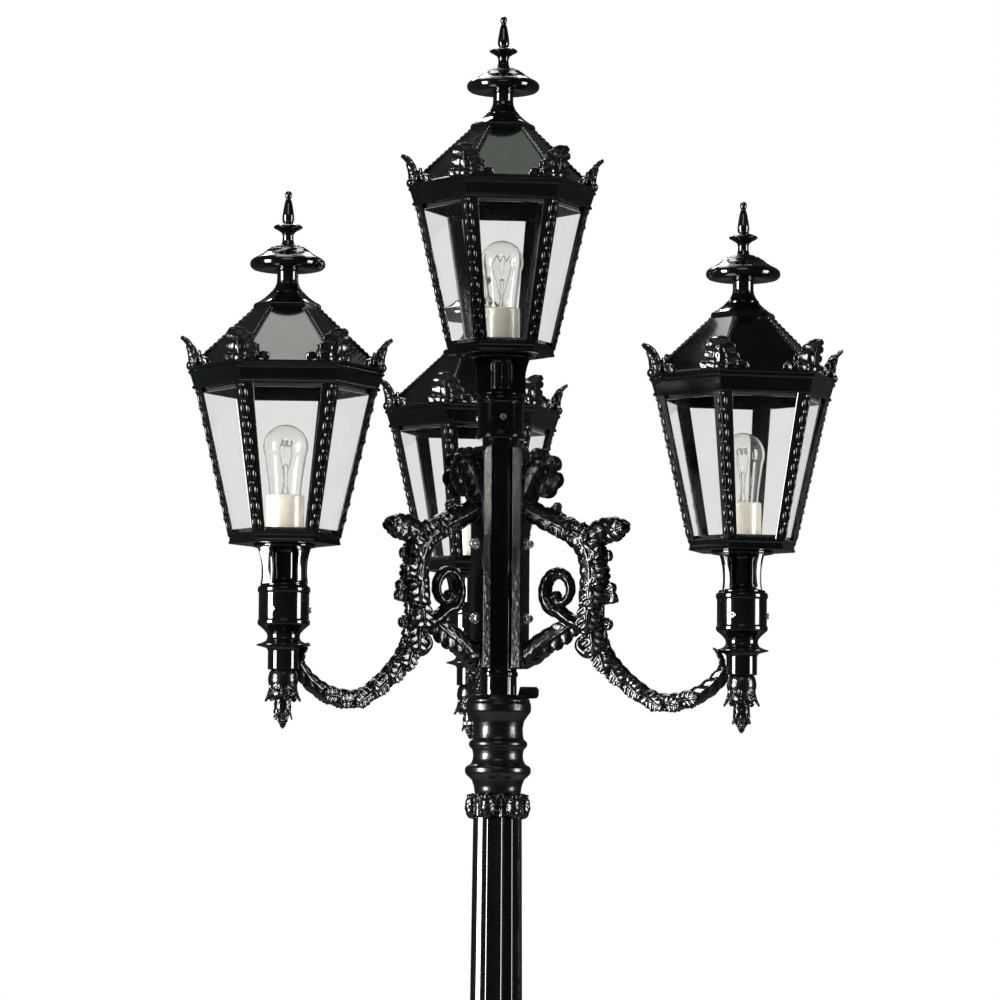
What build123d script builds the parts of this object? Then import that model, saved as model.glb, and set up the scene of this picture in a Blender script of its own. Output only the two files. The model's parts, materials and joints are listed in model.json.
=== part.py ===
from build123d import *
import math
import os

# A cast street lamp post with three scroll arms and four hexagonal lanterns.
# Millimetres, +Z up. The origin is on the column axis, at the underside of the base flange.
# Angles are in degrees, counter-clockwise seen from above; the service door faces -Y.

# ---- column -------------------------------------------------------------------------------
FLANGE_R = 262.0            # corner radius of the hexagonal base flange
FLANGE_H = 26.0
ANCHOR_PCD = 410.0
ANCHOR_HOLE_R = 11.0
ANCHOR_COUNT = 4
CABLE_ENTRY_R = 55.0
PLINTH_R = 176.0            # corner radius of the plinth above the flange
PLINTH_TOP = 92.0
PEDESTAL_R = 150.0          # corner radius of the hexagonal pedestal
PEDESTAL_WALL = 10.0
PEDESTAL_TOP = 690.0
CORNICE_R = 172.0
CORNICE_TOP = 722.0
SHAFT_BOTTOM = 830.0
SHAFT_BOTTOM_R = 66.0
SHAFT_TOP = 2510.0
SHAFT_TOP_R = 51.0
SHAFT_BORE_R = 32.0
SHAFT_NECK_R = 44.0         # plain neck at the top of the shaft, inside the leaf collar
FLUTES = 12
LEAF_COLLAR_TOP = 2559.0
CAPITAL_TOP = 2766.0
CAPITAL_LUG = (44.0, 84.0, -11.0, 11.0, 2760.0, 2784.0)   # x, y and z from and to
TUBE_R = 38.0               # upper tube, the usual 76 mm spigot size
TUBE_BORE_R = 33.0
TUBE_SEAT = 2726.0          # the tube stands this high, inside the capital
TUBE_TOP = 3331.0
TUBE_RING_Z = 2808.0

# ---- service door, its hinge and its lock -------------------------------------------------
DOOR_W = 124.0
DOOR_BOTTOM = 190.0
DOOR_TOP = 560.0
DOOR_GAP = 1.5
DOOR_T = 8.0
DOOR_HINGE_OUT = 8.0        # the hinge axis lies this far outside the pedestal face
HINGE_BARREL_R = 7.0
HINGE_PIN_R = 3.0
RUNNING_GAP = 0.05
HINGE_HEIGHTS = (240.0, 510.0)
KNUCKLE_H = 18.0
LOCK_INSET = 24.0           # lock axis from the free edge of the door
LOCK_R = 9.0
CAM_L = 29.0
CAM_W = 14.0
CAM_T = 5.0
BOX_STANDOFF = 4.0          # the terminal box stands off the rear wall on four feet

# ---- lanterns -------------------------------------------------------------------------------
FOOT_H = 84.0               # from the socket's top face to the underside of the lantern
SPIGOT_R = 30.0
SPIGOT_H = 64.0
FOOT_TUBE_R = 25.5
FOOT_RIBS = 4
TRAY_R = 114.0              # corner radii, from the underside up
TRAY_H = 22.0
GLAZING_TOP = 315.0
GLAZING_TOP_R = 185.0
EAVE_Z = 352.0
EAVE_R = 198.0
ROOF_TOP_Z = 485.0
ROOF_TOP_R = 66.0
ROOF_GAP = 0.3
SHEET_T = 3.0
BAR_W = 36.0                # across a corner, half on each pane
BAR_T = 6.0
GLASS_T = 3.0
NECK_R = 21.5
CAP_BOTTOM_Z = 566.0
CAP_TOP_Z = 611.0
CAP_R = 77.0
TIP_Z = 723.0
CROWN_TIP_R = 219.0
CROWN_TIP_Z = 427.0
BULB_R = 45.5
BULB_Z = 199.0
BULB_NECK_R = 33.0
HOLDER_R = 36.0
HOLDER_TOP = 100.0
HOLDER_POCKET = 30.0
ROOF_HINGE_OUT = 9.0
ROOF_KNUCKLE_HALF = 20.0

# ---- arms -----------------------------------------------------------------------------------
ARM_REACH = 542.0
ARM_THICKNESS = 34.0
BAR_OUT = 60.0              # outer face of an arm's mounting bar, from the column axis
BAR_BOTTOM = 2820.0
BAR_TOP = 3287.0
BAR_WIDTH = 44.0
ARM_BOLT_Z = (2925.0, 3081.0)
ARM_BOLT_R = 5.5
SOCKET_TOP = 2973.0
SOCKET_NECK_R = 31.5
SOCKET_BOTTOM = 2804.0
DROP_TIP = 2683.0
COLLAR_RIM_R = 53.5
COLLAR_BODY_R = 51.0
TOP_SOCKET_TOP = 3395.0
TOP_SOCKET_BOTTOM = 3302.0
SET_SCREWS = 3
SET_SCREW_R = 4.0
SET_SCREW_DROP = 48.0       # below the socket's top face

ARMS = {"right": -30.0, "left": 210.0, "back": 90.0}
# lantern name: distance from the column axis, its direction, underside height, way its roof opens
LANTERNS = {
    "top": (0.0, 0.0, TOP_SOCKET_TOP + FOOT_H, 90.0),
    "left": (ARM_REACH, ARMS["left"], SOCKET_TOP + FOOT_H, 147.0),
    "right": (ARM_REACH, ARMS["right"], SOCKET_TOP + FOOT_H, 37.0),
    "back": (ARM_REACH, ARMS["back"], SOCKET_TOP + FOOT_H, 96.0),
}

# centre line of the big scroll: distance from the column axis, height, half width
SCROLL = (
    (64, 3154, 22), (112, 3130, 25), (156, 3110, 26), (198, 3072, 28), (211, 3022, 28),
    (209, 2960, 28), (216, 2898, 26), (238, 2846, 23), (280, 2799, 20), (334, 2760, 19),
    (376, 2749, 18.5), (434, 2758, 18), (480, 2784, 17), (507, 2818, 16),
)
VOLUTE_AT = (138.0, 2988.0)
VOLUTE_R = 34.0
VOLUTE_BAND = 20.0
CORNER_LEAF = ((238, 3106, 26), (280, 3116, 15))
UPPER_BUMP = (242, 3050, 12)
LOWER_LEAF = ((226, 2974, 16), (268, 2962, 9))
STRUT = ((172, 2918, 14), (120, 2884, 24), (74, 2850, 26))
INNER_CURL = ((206, 2858, 14), (190, 2868, 16))
TOP_LEAF = ((72, 3200, 26), (101, 3243, 36))


def hexagon(radius, z):
    """A regular hexagon with a flat side facing +X."""
    return Plane.XY.offset(z) * (Rot(0, 0, 30) * RegularPolygon(radius, 6))


def hex_frustum(z0, r0, z1, r1):
    return loft([hexagon(r0, z0).face(), hexagon(r1, z1).face()], ruled=True)


def turned(points):
    """A solid turned about Z from its half outline of (radius, height) points."""
    outline = Plane.XZ * make_face(Polyline(*points, close=True))
    return revolve(outline, Axis.Z)


def rod(radius, z0, z1):
    return Pos(0, 0, (z0 + z1) / 2) * Cylinder(radius, z1 - z0)


def block(x0, x1, y0, y1, z0, z1):
    centre = ((x0 + x1) / 2, (y0 + y1) / 2, (z0 + z1) / 2)
    return Pos(*centre) * Box(x1 - x0, y1 - y0, z1 - z0)


def spoke(radius, start, end, z):
    """A cylinder lying along +X, from start to end, at the height z."""
    return Pos((start + end) / 2, 0, z) * Rot(0, 90, 0) * Cylinder(radius, end - start)


def barrel(radius, bore, x, z, y0, y1):
    """A tube lying along Y."""
    turn = Pos(x, (y0 + y1) / 2, z) * Rot(90, 0, 0)
    tube = turn * Cylinder(radius, y1 - y0)
    return tube - turn * Cylinder(bore, y1 - y0 + 2) if bore else tube


def around(shape, count, start=0.0):
    return [Rot(0, 0, start + 360.0 * k / count) * shape for k in range(count)]


def apothem(radius):
    return radius * math.cos(math.radians(30))


def solids_of(*shapes):
    """Every solid of the shapes, kept apart in one compound."""
    found = []
    for shape in shapes:
        for item in shape if isinstance(shape, (list, tuple)) else [shape]:
            found += list(item.solids())
    return Compound(found)


def write(name, shape):
    export_step(shape, f"parts/{name}.step")


# ---- column -------------------------------------------------------------------------------
def base_pedestal():
    flange = hex_frustum(0, FLANGE_R, FLANGE_H, FLANGE_R - 4)
    step = hex_frustum(FLANGE_H, PLINTH_R + 14, FLANGE_H + 14, PLINTH_R)
    plinth = hex_frustum(FLANGE_H + 14, PLINTH_R, PLINTH_TOP, PLINTH_R)
    chamfer = hex_frustum(PLINTH_TOP, PLINTH_R, PLINTH_TOP + 24, PEDESTAL_R)
    walls = hex_frustum(PLINTH_TOP + 24, PEDESTAL_R, PEDESTAL_TOP, PEDESTAL_R)
    cove = hex_frustum(PEDESTAL_TOP - 22, PEDESTAL_R, PEDESTAL_TOP, CORNICE_R)
    cornice = hex_frustum(PEDESTAL_TOP, CORNICE_R, CORNICE_TOP, CORNICE_R)
    bell = turned((
        (0, CORNICE_TOP), (138, CORNICE_TOP), (138, CORNICE_TOP + 12), (118, CORNICE_TOP + 22),
        (94, CORNICE_TOP + 52), (82, CORNICE_TOP + 84), (88, CORNICE_TOP + 92),
        (88, CORNICE_TOP + 104), (76, SHAFT_BOTTOM), (0, SHAFT_BOTTOM),
    ))
    body = flange + step + plinth + chamfer + walls + cove + cornice + bell
    inside = PEDESTAL_R - PEDESTAL_WALL / math.cos(math.radians(30))
    body -= hex_frustum(FLANGE_H, inside, PEDESTAL_TOP - 4, inside)
    body -= rod(CABLE_ENTRY_R, -1, FLANGE_H + 1)
    body -= rod(SHAFT_BORE_R, PEDESTAL_TOP - 10, SHAFT_BOTTOM + 1)
    for hole in around(Pos(ANCHOR_PCD / 2, 0, 0) * rod(ANCHOR_HOLE_R, -1, FLANGE_H + 20),
                       ANCHOR_COUNT, 45):
        body -= hole
    face = apothem(PEDESTAL_R)
    half = DOOR_W / 2
    body -= block(face - PEDESTAL_WALL - 2, face + 30, -half, half, DOOR_BOTTOM, DOOR_TOP)
    for z in HINGE_HEIGHTS:
        for low in (z - KNUCKLE_H * 1.5 - 0.5, z + KNUCKLE_H / 2 + 0.5):
            body += hinge_knuckle(low, HINGE_PIN_R, -half - 12, -half - 1)
    return body


def hinge_knuckle(low, bore, y0, y1):
    """A vertical hinge barrel outside the pedestal face, with a tab that runs from y0 to y1."""
    face = apothem(PEDESTAL_R)
    x, y = face + DOOR_HINGE_OUT, -DOOR_W / 2
    centre = Pos(x, y, low + KNUCKLE_H / 2)
    tab = block(face - 2, x, y0, y1, low, low + KNUCKLE_H)
    bore_cut = centre * Cylinder(bore, KNUCKLE_H + 2)
    return centre * Cylinder(HINGE_BARREL_R, KNUCKLE_H) + tab - bore_cut


def service_door():
    face = apothem(PEDESTAL_R)
    half = DOOR_W / 2 - DOOR_GAP
    plate = block(face - DOOR_T, face, -half, half, DOOR_BOTTOM + DOOR_GAP, DOOR_TOP - DOOR_GAP)
    panel = block(face - 1, face + 4, -half + 18, half - 40, DOOR_BOTTOM + 28, DOOR_TOP - 28)
    door = plate + panel
    for z in HINGE_HEIGHTS:
        low = z - KNUCKLE_H / 2
        x, y = face + DOOR_HINGE_OUT, -DOOR_W / 2
        tab = block(face - 1, x, y, -half + 14, low, low + KNUCKLE_H)
        centre = Pos(x, y, z)
        door += tab + centre * Cylinder(HINGE_BARREL_R, KNUCKLE_H)
        door -= centre * Cylinder(HINGE_PIN_R + RUNNING_GAP, KNUCKLE_H + 2)
    lock_y, lock_z = DOOR_W / 2 - LOCK_INSET, (DOOR_BOTTOM + DOOR_TOP) / 2
    door -= Pos(face, lock_y, lock_z) * Rot(0, 90, 0) * Cylinder(LOCK_R + RUNNING_GAP, 60)
    return door


def door_hinge_pins():
    x, y = apothem(PEDESTAL_R) + DOOR_HINGE_OUT, -DOOR_W / 2
    reach = KNUCKLE_H * 1.5 + 3
    return solids_of([Pos(x, y, 0) * rod(HINGE_PIN_R, z - reach, z + reach) for z in HINGE_HEIGHTS])


def door_lock():
    """A triangular-key lock: barrel, outer lip and the cam behind the door, turned upright."""
    face = apothem(PEDESTAL_R)
    y, z = DOOR_W / 2 - LOCK_INSET, (DOOR_BOTTOM + DOOR_TOP) / 2
    back = face - PEDESTAL_WALL - 2.5
    lock = Pos(0, y, 0) * spoke(LOCK_R, back, face + 4.3, z)
    lock += Pos(0, y, 0) * spoke(LOCK_R + 5, face + 0.5, face + 4.3, z)
    key = Pos(face + 4.3, y, z) * Rot(0, 90, 0) * extrude(RegularPolygon(5, 3), -7)
    lock += block(back - CAM_T, back, y - CAM_W / 2, y + CAM_W / 2, z - CAM_W / 2, z + CAM_L)
    return lock - key


def terminal_box():
    """Cable terminals and fuse carriers on the pedestal's rear wall."""
    wall = -apothem(PEDESTAL_R) + PEDESTAL_WALL
    rear = wall + BOX_STANDOFF
    case = block(rear, rear + 44, -48, 48, 250, 450)
    for y in (-36, 36):
        for z in (270, 430):
            case += Pos(0, y, 0) * spoke(6, wall, rear + 1, z)
    carriers = [block(rear + 44, rear + 60, y - 15, y + 15, 360, 430) for y in (-24, 24)]
    glands = [Pos(rear + 20, y, 0) * rod(11, 228, 250) for y in (-26, 0, 26)]
    stud = Pos(0, 60, 0) * spoke(4, wall, rear + 20, 330)
    return solids_of(case, carriers, glands, stud)


def flute_outline(radius, z):
    disc = Circle(radius)
    cut_r = radius * 0.19
    for k in range(FLUTES):
        disc -= Rot(0, 0, 360.0 * k / FLUTES) * Pos(radius + cut_r * 0.35, 0) * Circle(cut_r)
    return Plane.XY.offset(z) * disc


def fluted_shaft():
    foot = turned(((0, SHAFT_BOTTOM), (74, SHAFT_BOTTOM), (74, SHAFT_BOTTOM + 16),
                   (SHAFT_BOTTOM_R, SHAFT_BOTTOM + 30), (0, SHAFT_BOTTOM + 30)))
    low = flute_outline(SHAFT_BOTTOM_R, SHAFT_BOTTOM + 30).face()
    high = flute_outline(SHAFT_TOP_R, SHAFT_TOP).face()
    shaft = foot + loft([low, high], ruled=True) + rod(SHAFT_NECK_R, SHAFT_TOP, LEAF_COLLAR_TOP)
    return shaft - rod(SHAFT_BORE_R, SHAFT_BOTTOM - 1, LEAF_COLLAR_TOP + 1)


def leaf_collar():
    ring = turned((
        (SHAFT_NECK_R, SHAFT_TOP), (54, SHAFT_TOP), (61, SHAFT_TOP + 8), (63, SHAFT_TOP + 24),
        (60, SHAFT_TOP + 36), (52, LEAF_COLLAR_TOP), (SHAFT_NECK_R, LEAF_COLLAR_TOP),
    ))
    boss = Pos(58, 0, SHAFT_TOP + 24) * Sphere(11)
    for leaf in around(boss, 6):
        ring += leaf
    return ring - rod(SHAFT_NECK_R, SHAFT_TOP - 30, LEAF_COLLAR_TOP + 30)


def capital():
    low = LEAF_COLLAR_TOP
    shell = turned((
        (0, low), (48, low), (50, low + 14), (56, low + 32), (69, low + 44), (69, low + 58),
        (56, low + 66), (52, low + 80), (54, low + 94), (61, low + 102), (61, low + 114),
        (54, low + 120), (52, low + 134), (53, low + 152), (62, low + 168), (68.5, low + 176),
        (68.5, low + 200), (60, CAPITAL_TOP), (0, CAPITAL_TOP),
    ))
    shell += block(*CAPITAL_LUG)
    shell -= rod(TUBE_R, TUBE_SEAT, CAPITAL_TOP + 1)
    return shell - rod(SHAFT_BORE_R, low - 1, TUBE_SEAT + 1)


def upper_tube():
    tube = rod(TUBE_R, TUBE_SEAT, TUBE_TOP) + rod(TUBE_R + 2.5, TUBE_RING_Z, TUBE_RING_Z + 8)
    tube -= rod(TUBE_BORE_R, TUBE_SEAT - 1, TUBE_TOP + 1)
    for angle in ARMS.values():
        for z in ARM_BOLT_Z:
            tube -= Rot(0, 0, angle) * spoke(ARM_BOLT_R, 0, TUBE_R + 2, z)
    return tube


def top_socket():
    low, high = TOP_SOCKET_BOTTOM, TOP_SOCKET_TOP
    collar = turned((
        (0, low), (49, low), (51.5, low + 3), (51.5, low + 12), (49, low + 15), (49, high - 17),
        (51.5, high - 14), (51.5, high - 5), (48, high), (0, high),
    ))
    collar -= rod(TUBE_R, low - 1, TUBE_TOP)
    collar -= rod(SPIGOT_R, TUBE_TOP - 1, high + 1)
    for hole in around(spoke(SET_SCREW_R, 20, 60, high - SET_SCREW_DROP), SET_SCREWS, 30):
        collar -= hole
    return collar


# ---- arms -----------------------------------------------------------------------------------
def strand(points):
    """A flat band through (distance, height, half width) points, round at every point."""
    band = None
    for (x0, z0, w0), (x1, z1, w1) in zip(points, points[1:]):
        first, last = Pos(x0, z0) * Circle(w0), Pos(x1, z1) * Circle(w1)
        link = make_hull(first.edges() + last.edges())
        band = link if band is None else band + link
    return band


def scroll_arm():
    """An arm along +X: mounting bar, C-scroll with volute and leaves, and the long low sweep."""
    plate = strand(SCROLL)
    plate += strand((SCROLL[3], CORNER_LEAF[0], CORNER_LEAF[1]))
    plate += Pos(UPPER_BUMP[0], UPPER_BUMP[1]) * Circle(UPPER_BUMP[2])
    plate += strand((SCROLL[5], LOWER_LEAF[0], LOWER_LEAF[1]))
    plate += strand((SCROLL[6], STRUT[0], STRUT[1], STRUT[2]))
    plate += strand((SCROLL[7], INNER_CURL[0], INNER_CURL[1]))
    plate += strand((SCROLL[0], TOP_LEAF[0], TOP_LEAF[1]))
    ring = Circle(VOLUTE_R + VOLUTE_BAND / 2) - Circle(VOLUTE_R - VOLUTE_BAND / 2)
    plate += Pos(*VOLUTE_AT) * ring
    plate += strand(((VOLUTE_AT[0] + VOLUTE_R, VOLUTE_AT[1], 9), (SCROLL[5][0], SCROLL[5][1], 12)))
    arm = extrude(Plane.XZ * plate, ARM_THICKNESS / 2, both=True)
    arm += block(30, BAR_OUT, -BAR_WIDTH / 2, BAR_WIDTH / 2, BAR_BOTTOM, BAR_TOP)
    arm -= rod(TUBE_R, BAR_BOTTOM - 200, BAR_TOP + 200)
    arm -= Pos(ARM_REACH, 0, 0) * rod(SOCKET_NECK_R, DROP_TIP, SOCKET_TOP)
    for z in ARM_BOLT_Z:
        arm -= spoke(ARM_BOLT_R + 0.5, 20, BAR_OUT + 1, z)
        arm -= spoke(12, BAR_OUT, BAR_OUT + 26, z)
    return arm


def arm_bolts():
    bolt = spoke(ARM_BOLT_R, TUBE_BORE_R - 4, BAR_OUT, 0)
    bolt += Pos(BAR_OUT + 4.5, 0, 0) * Rot(0, 90, 0) * extrude(RegularPolygon(10, 6), 4.5, both=True)
    return solids_of([Rot(0, 0, a) * Pos(0, 0, z) * bolt for a in ARMS.values() for z in ARM_BOLT_Z])


def arm_socket():
    """The turned socket at an arm's end, with a pointed disc round its neck."""
    rim, body, neck = COLLAR_RIM_R, COLLAR_BODY_R, SOCKET_NECK_R
    low, high = SOCKET_BOTTOM, SOCKET_TOP
    socket = turned((
        (0, low), (neck, low), (neck, low + 40), (40, low + 45), (55, low + 48), (55, low + 51),
        (40, low + 56), (neck + 2, low + 62), (neck + 2, low + 70), (40, low + 80), (body - 2, low + 88),
        (rim, low + 92), (rim, low + 99), (body, low + 102), (body, high - 13), (rim, high - 10),
        (rim, high - 4), (rim - 3, high), (0, high),
    ))
    socket -= rod(SPIGOT_R, high - SPIGOT_H, high + 1)
    for hole in around(spoke(SET_SCREW_R, 20, 60, high - SET_SCREW_DROP), SET_SCREWS, 30):
        socket -= hole
    return socket


def drop_finial():
    low, high = DROP_TIP, SOCKET_BOTTOM
    return turned((
        (0, high), (24, high), (30, high - 10), (36, high - 24), (34, high - 44),
        (22, high - 58), (20, high - 66), (24, high - 76), (18, high - 92), (9, high - 102),
        (10, high - 108), (5, low + 5), (0, low),
    ))


def set_screws():
    screw = spoke(SET_SCREW_R, SPIGOT_R, COLLAR_BODY_R, -SET_SCREW_DROP)
    screw += spoke(6.5, COLLAR_BODY_R, COLLAR_BODY_R + 4, -SET_SCREW_DROP)
    ring = around(screw, SET_SCREWS, 30)
    placed = [Pos(0, 0, TOP_SOCKET_TOP) * s for s in ring]
    for angle in ARMS.values():
        place = Rot(0, 0, angle) * Pos(ARM_REACH, 0, SOCKET_TOP)
        placed += [place * s for s in ring]
    return solids_of(placed)


# ---- lantern, about its own axis, underside at z = 0, hinge side facing +X -------------------
def lantern_foot():
    foot = rod(SPIGOT_R, -FOOT_H - SPIGOT_H, -FOOT_H) + rod(48, -FOOT_H, -FOOT_H + 5)
    foot += rod(FOOT_TUBE_R, -FOOT_H, 0) + rod(64, -6, 0)
    outline = Polyline((20, -80), (53, -80), (50, -66), (50, -34), (54, -18), (61, -6), (20, -6),
                       close=True)
    rib = extrude(Plane.XZ * make_face(outline), 4, both=True)
    for fin in around(rib, FOOT_RIBS):
        foot += fin
    return foot - rod(10, -FOOT_H - SPIGOT_H - 1, 1)


def base_tray():
    tray = hex_frustum(0, TRAY_R, TRAY_H, TRAY_R + 2)
    tray -= hex_frustum(8, TRAY_R - 14, TRAY_H + 1, TRAY_R - 14)
    return tray - rod(10, -1, 9)


def glazing_radius(z):
    share = (z - TRAY_H) / (GLAZING_TOP - TRAY_H)
    return TRAY_R + 2 + share * (GLAZING_TOP_R - TRAY_R - 2)


def glazing_shell(inset, thickness):
    """The sloping six-sided wall between the tray and the frieze."""
    out = inset / math.cos(math.radians(30))
    inn = out + thickness / math.cos(math.radians(30))
    r0, r1 = glazing_radius(TRAY_H), glazing_radius(GLAZING_TOP)
    shell = hex_frustum(TRAY_H, r0 - out, GLAZING_TOP, r1 - out)
    return shell - hex_frustum(TRAY_H, r0 - inn, GLAZING_TOP, r1 - inn)


def sector(radius, z0, z1):
    """A 60 degree wedge about +X."""
    x = radius
    y = radius * math.tan(math.radians(30))
    wedge = Plane.XY.offset(z0) * make_face(Polyline((0, 0), (x, -y), (x, y), close=True))
    return extrude(wedge, z1 - z0)


def cage():
    """Six corner bars and the six sides of the frieze that they carry."""
    shell = glazing_shell(0, BAR_T)
    corner = block(0, EAVE_R, -BAR_W / 2, BAR_W / 2, TRAY_H, GLAZING_TOP)
    bars = [shell & piece for piece in around(corner, 6, 30)]
    frieze = hex_frustum(GLAZING_TOP, GLAZING_TOP_R, EAVE_Z, EAVE_R)
    frieze -= hex_frustum(GLAZING_TOP, GLAZING_TOP_R - 14, EAVE_Z, EAVE_R - 14)
    side = frieze & sector(EAVE_R + 20, GLAZING_TOP, EAVE_Z)
    sides = around(side, 6)
    for low, high in ((-42, -ROOF_KNUCKLE_HALF - 1), (ROOF_KNUCKLE_HALF + 1, 42)):
        sides[0] += roof_knuckle(HINGE_PIN_R, low, high, EAVE_Z - 5, EAVE_Z)
    return solids_of(bars, sides)


def roof_knuckle(bore, y0, y1, z0, z1):
    """A roof hinge barrel with the tab that joins it to the eave."""
    x = apothem(EAVE_R) + ROOF_HINGE_OUT
    tab = block(apothem(EAVE_R) - 6, x, y0, y1, z0, z1)
    return barrel(HINGE_BARREL_R, 0, x, EAVE_Z, y0, y1) + tab - barrel(bore, 0, x, EAVE_Z, y0 - 1, y1 + 1)


def glass_panes():
    shell = glazing_shell(BAR_T, GLASS_T)
    gap = block(0, EAVE_R, -0.5, 0.5, TRAY_H - 1, GLAZING_TOP + 1)
    for cut in around(gap, 6, 30):
        shell -= cut
    return solids_of(shell)


def lamp_holder():
    sleeve = turned(((0, 8), (HOLDER_R - 2, 8), (HOLDER_R, 12), (HOLDER_R, HOLDER_TOP - 2),
                     (HOLDER_R - 1, HOLDER_TOP), (0, HOLDER_TOP)))
    return sleeve - rod(BULB_NECK_R, HOLDER_TOP - HOLDER_POCKET, HOLDER_TOP + 1)


def bulb():
    base = HOLDER_TOP - HOLDER_POCKET
    steps = range(-30, 90, 15)
    globe = [(BULB_R * math.cos(math.radians(a)), BULB_Z + BULB_R * math.sin(math.radians(a)))
             for a in steps]
    return turned([(0, base), (BULB_NECK_R, base), (BULB_NECK_R, HOLDER_TOP + 2)]
                  + globe + [(0, BULB_Z + BULB_R)])


def roof_frustum(inset):
    spread = inset / math.sin(math.radians(45))
    return hex_frustum(EAVE_Z + ROOF_GAP, EAVE_R - spread, ROOF_TOP_Z, ROOF_TOP_R - spread)


def roof():
    """Six roof plates, the hinge knuckle on the first, and the stepped cap with its neck."""
    shell = roof_frustum(0) - roof_frustum(SHEET_T)
    plate = shell & sector(EAVE_R + 20, EAVE_Z, ROOF_TOP_Z)
    plates = around(plate, 6)
    half = ROOF_KNUCKLE_HALF
    knuckle = roof_knuckle(HINGE_PIN_R + RUNNING_GAP, -half, half, EAVE_Z + 2, EAVE_Z + 6)
    plates[0] += knuckle - roof_frustum(SHEET_T)
    low = ROOF_TOP_Z
    cap = hex_frustum(low, ROOF_TOP_R, low + 8, ROOF_TOP_R) + hex_frustum(low + 8, 58, low + 26, 44)
    cap += rod(34, low + 26, low + 39) + rod(NECK_R, low + 39, CAP_BOTTOM_Z)
    return solids_of(plates, cap)


def crown_leaves():
    """A palmette on each eave corner: an outward horn and two wings along the eave."""
    low, tip = EAVE_Z + 0.5, CROWN_TIP_Z
    horn = make_face(Polyline(
        (EAVE_R - 26, low), (EAVE_R, low), (EAVE_R + 6, low + 22), (EAVE_R + 9, low + 46),
        (CROWN_TIP_R, tip - 5), (CROWN_TIP_R - 7, tip), (EAVE_R + 2, low + 58),
        (EAVE_R - 16, low + 42), close=True))
    leaf = extrude(Plane.XZ * horn, 6, both=True)
    outline = make_face(Polyline((0, low), (53, low), (44, low + 22), (24, low + 44), (6, low + 66),
                                 (0, low + 66), close=True))
    edge = apothem(EAVE_R)
    for sign in (1, -1):
        wing = extrude(Plane.YZ * outline, -7)
        wing = wing if sign > 0 else mirror(wing, Plane.XZ)
        # each side of the eave faces 30 degrees away from the corner's own direction
        leaf += Rot(0, 0, 30 * sign) * Pos(edge, -sign * EAVE_R / 2, 0) * wing
    leaf -= Rot(0, 0, 30) * roof_frustum(0)
    return solids_of(around(leaf, 6, 30))


def vent_cap():
    low, rim = CAP_BOTTOM_Z, CAP_R
    return turned((
        (0, low), (30, low), (56, low - 4), (rim - 5, low - 3), (rim, low + 4), (rim - 2, low + 11),
        (60, low + 24), (36, low + 35), (18, CAP_TOP_Z), (0, CAP_TOP_Z),
    ))


def finial():
    low = CAP_TOP_Z
    return turned((
        (0, low), (13, low), (12, low + 20), (16, low + 27), (28, low + 32), (30, low + 37),
        (24, low + 41), (10, low + 45), (9, low + 52), (15, low + 62), (15, low + 68),
        (6, low + 84), (4, low + 97), (7, low + 102), (6.5, low + 107), (2, TIP_Z - 3), (0, TIP_Z),
    ))


def roof_hinge_pin():
    x = apothem(EAVE_R) + ROOF_HINGE_OUT
    return barrel(HINGE_PIN_R, 0, x, EAVE_Z, -44, 44)


os.makedirs("parts", exist_ok=True)

to_door_side = Rot(0, 0, -90)
write("base_pedestal", to_door_side * base_pedestal())
write("service_door", to_door_side * service_door())
write("door_hinge_pins", to_door_side * door_hinge_pins())
write("door_lock", to_door_side * door_lock())
write("terminal_box", to_door_side * terminal_box())
write("fluted_shaft", fluted_shaft())
write("leaf_collar", leaf_collar())
write("capital", capital())
write("upper_tube", upper_tube())
write("top_socket", top_socket())
write("arm_bolts", arm_bolts())
write("set_screws", set_screws())

one_arm, one_socket, one_drop = scroll_arm(), arm_socket(), drop_finial()
ends = {name: Rot(0, 0, angle) * Pos(ARM_REACH, 0, 0) for name, angle in ARMS.items()}
for name, angle in ARMS.items():
    write(f"scroll_arm_{name}", Rot(0, 0, angle) * one_arm)
    write(f"arm_socket_{name}", ends[name] * one_socket)
write("drop_finials", solids_of([end * one_drop for end in ends.values()]))

lantern_parts = {
    "lantern_foot": lantern_foot(),
    "base_tray": base_tray(),
    "cage": cage(),
    "glass_panes": glass_panes(),
    "lamp_holder": lamp_holder(),
    "bulb": bulb(),
    "roof": roof(),
    "crown_leaves": crown_leaves(),
    "vent_cap": vent_cap(),
    "finial": finial(),
}
one_pin = roof_hinge_pin()
pins = []
for name, (reach, direction, height, opens) in LANTERNS.items():
    at = Rot(0, 0, direction) * Pos(reach, 0, 0)
    place = Pos(at.position.X, at.position.Y, height) * Rot(0, 0, opens)
    for part_name, shape in lantern_parts.items():
        write(f"{part_name}_{name}", place * shape)
    pins.append(place * one_pin)
write("roof_hinge_pins", solids_of(pins))
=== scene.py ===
import json
import math

import bmesh
import bpy
import numpy as np
from mathutils import Matrix, Vector, noise


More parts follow.
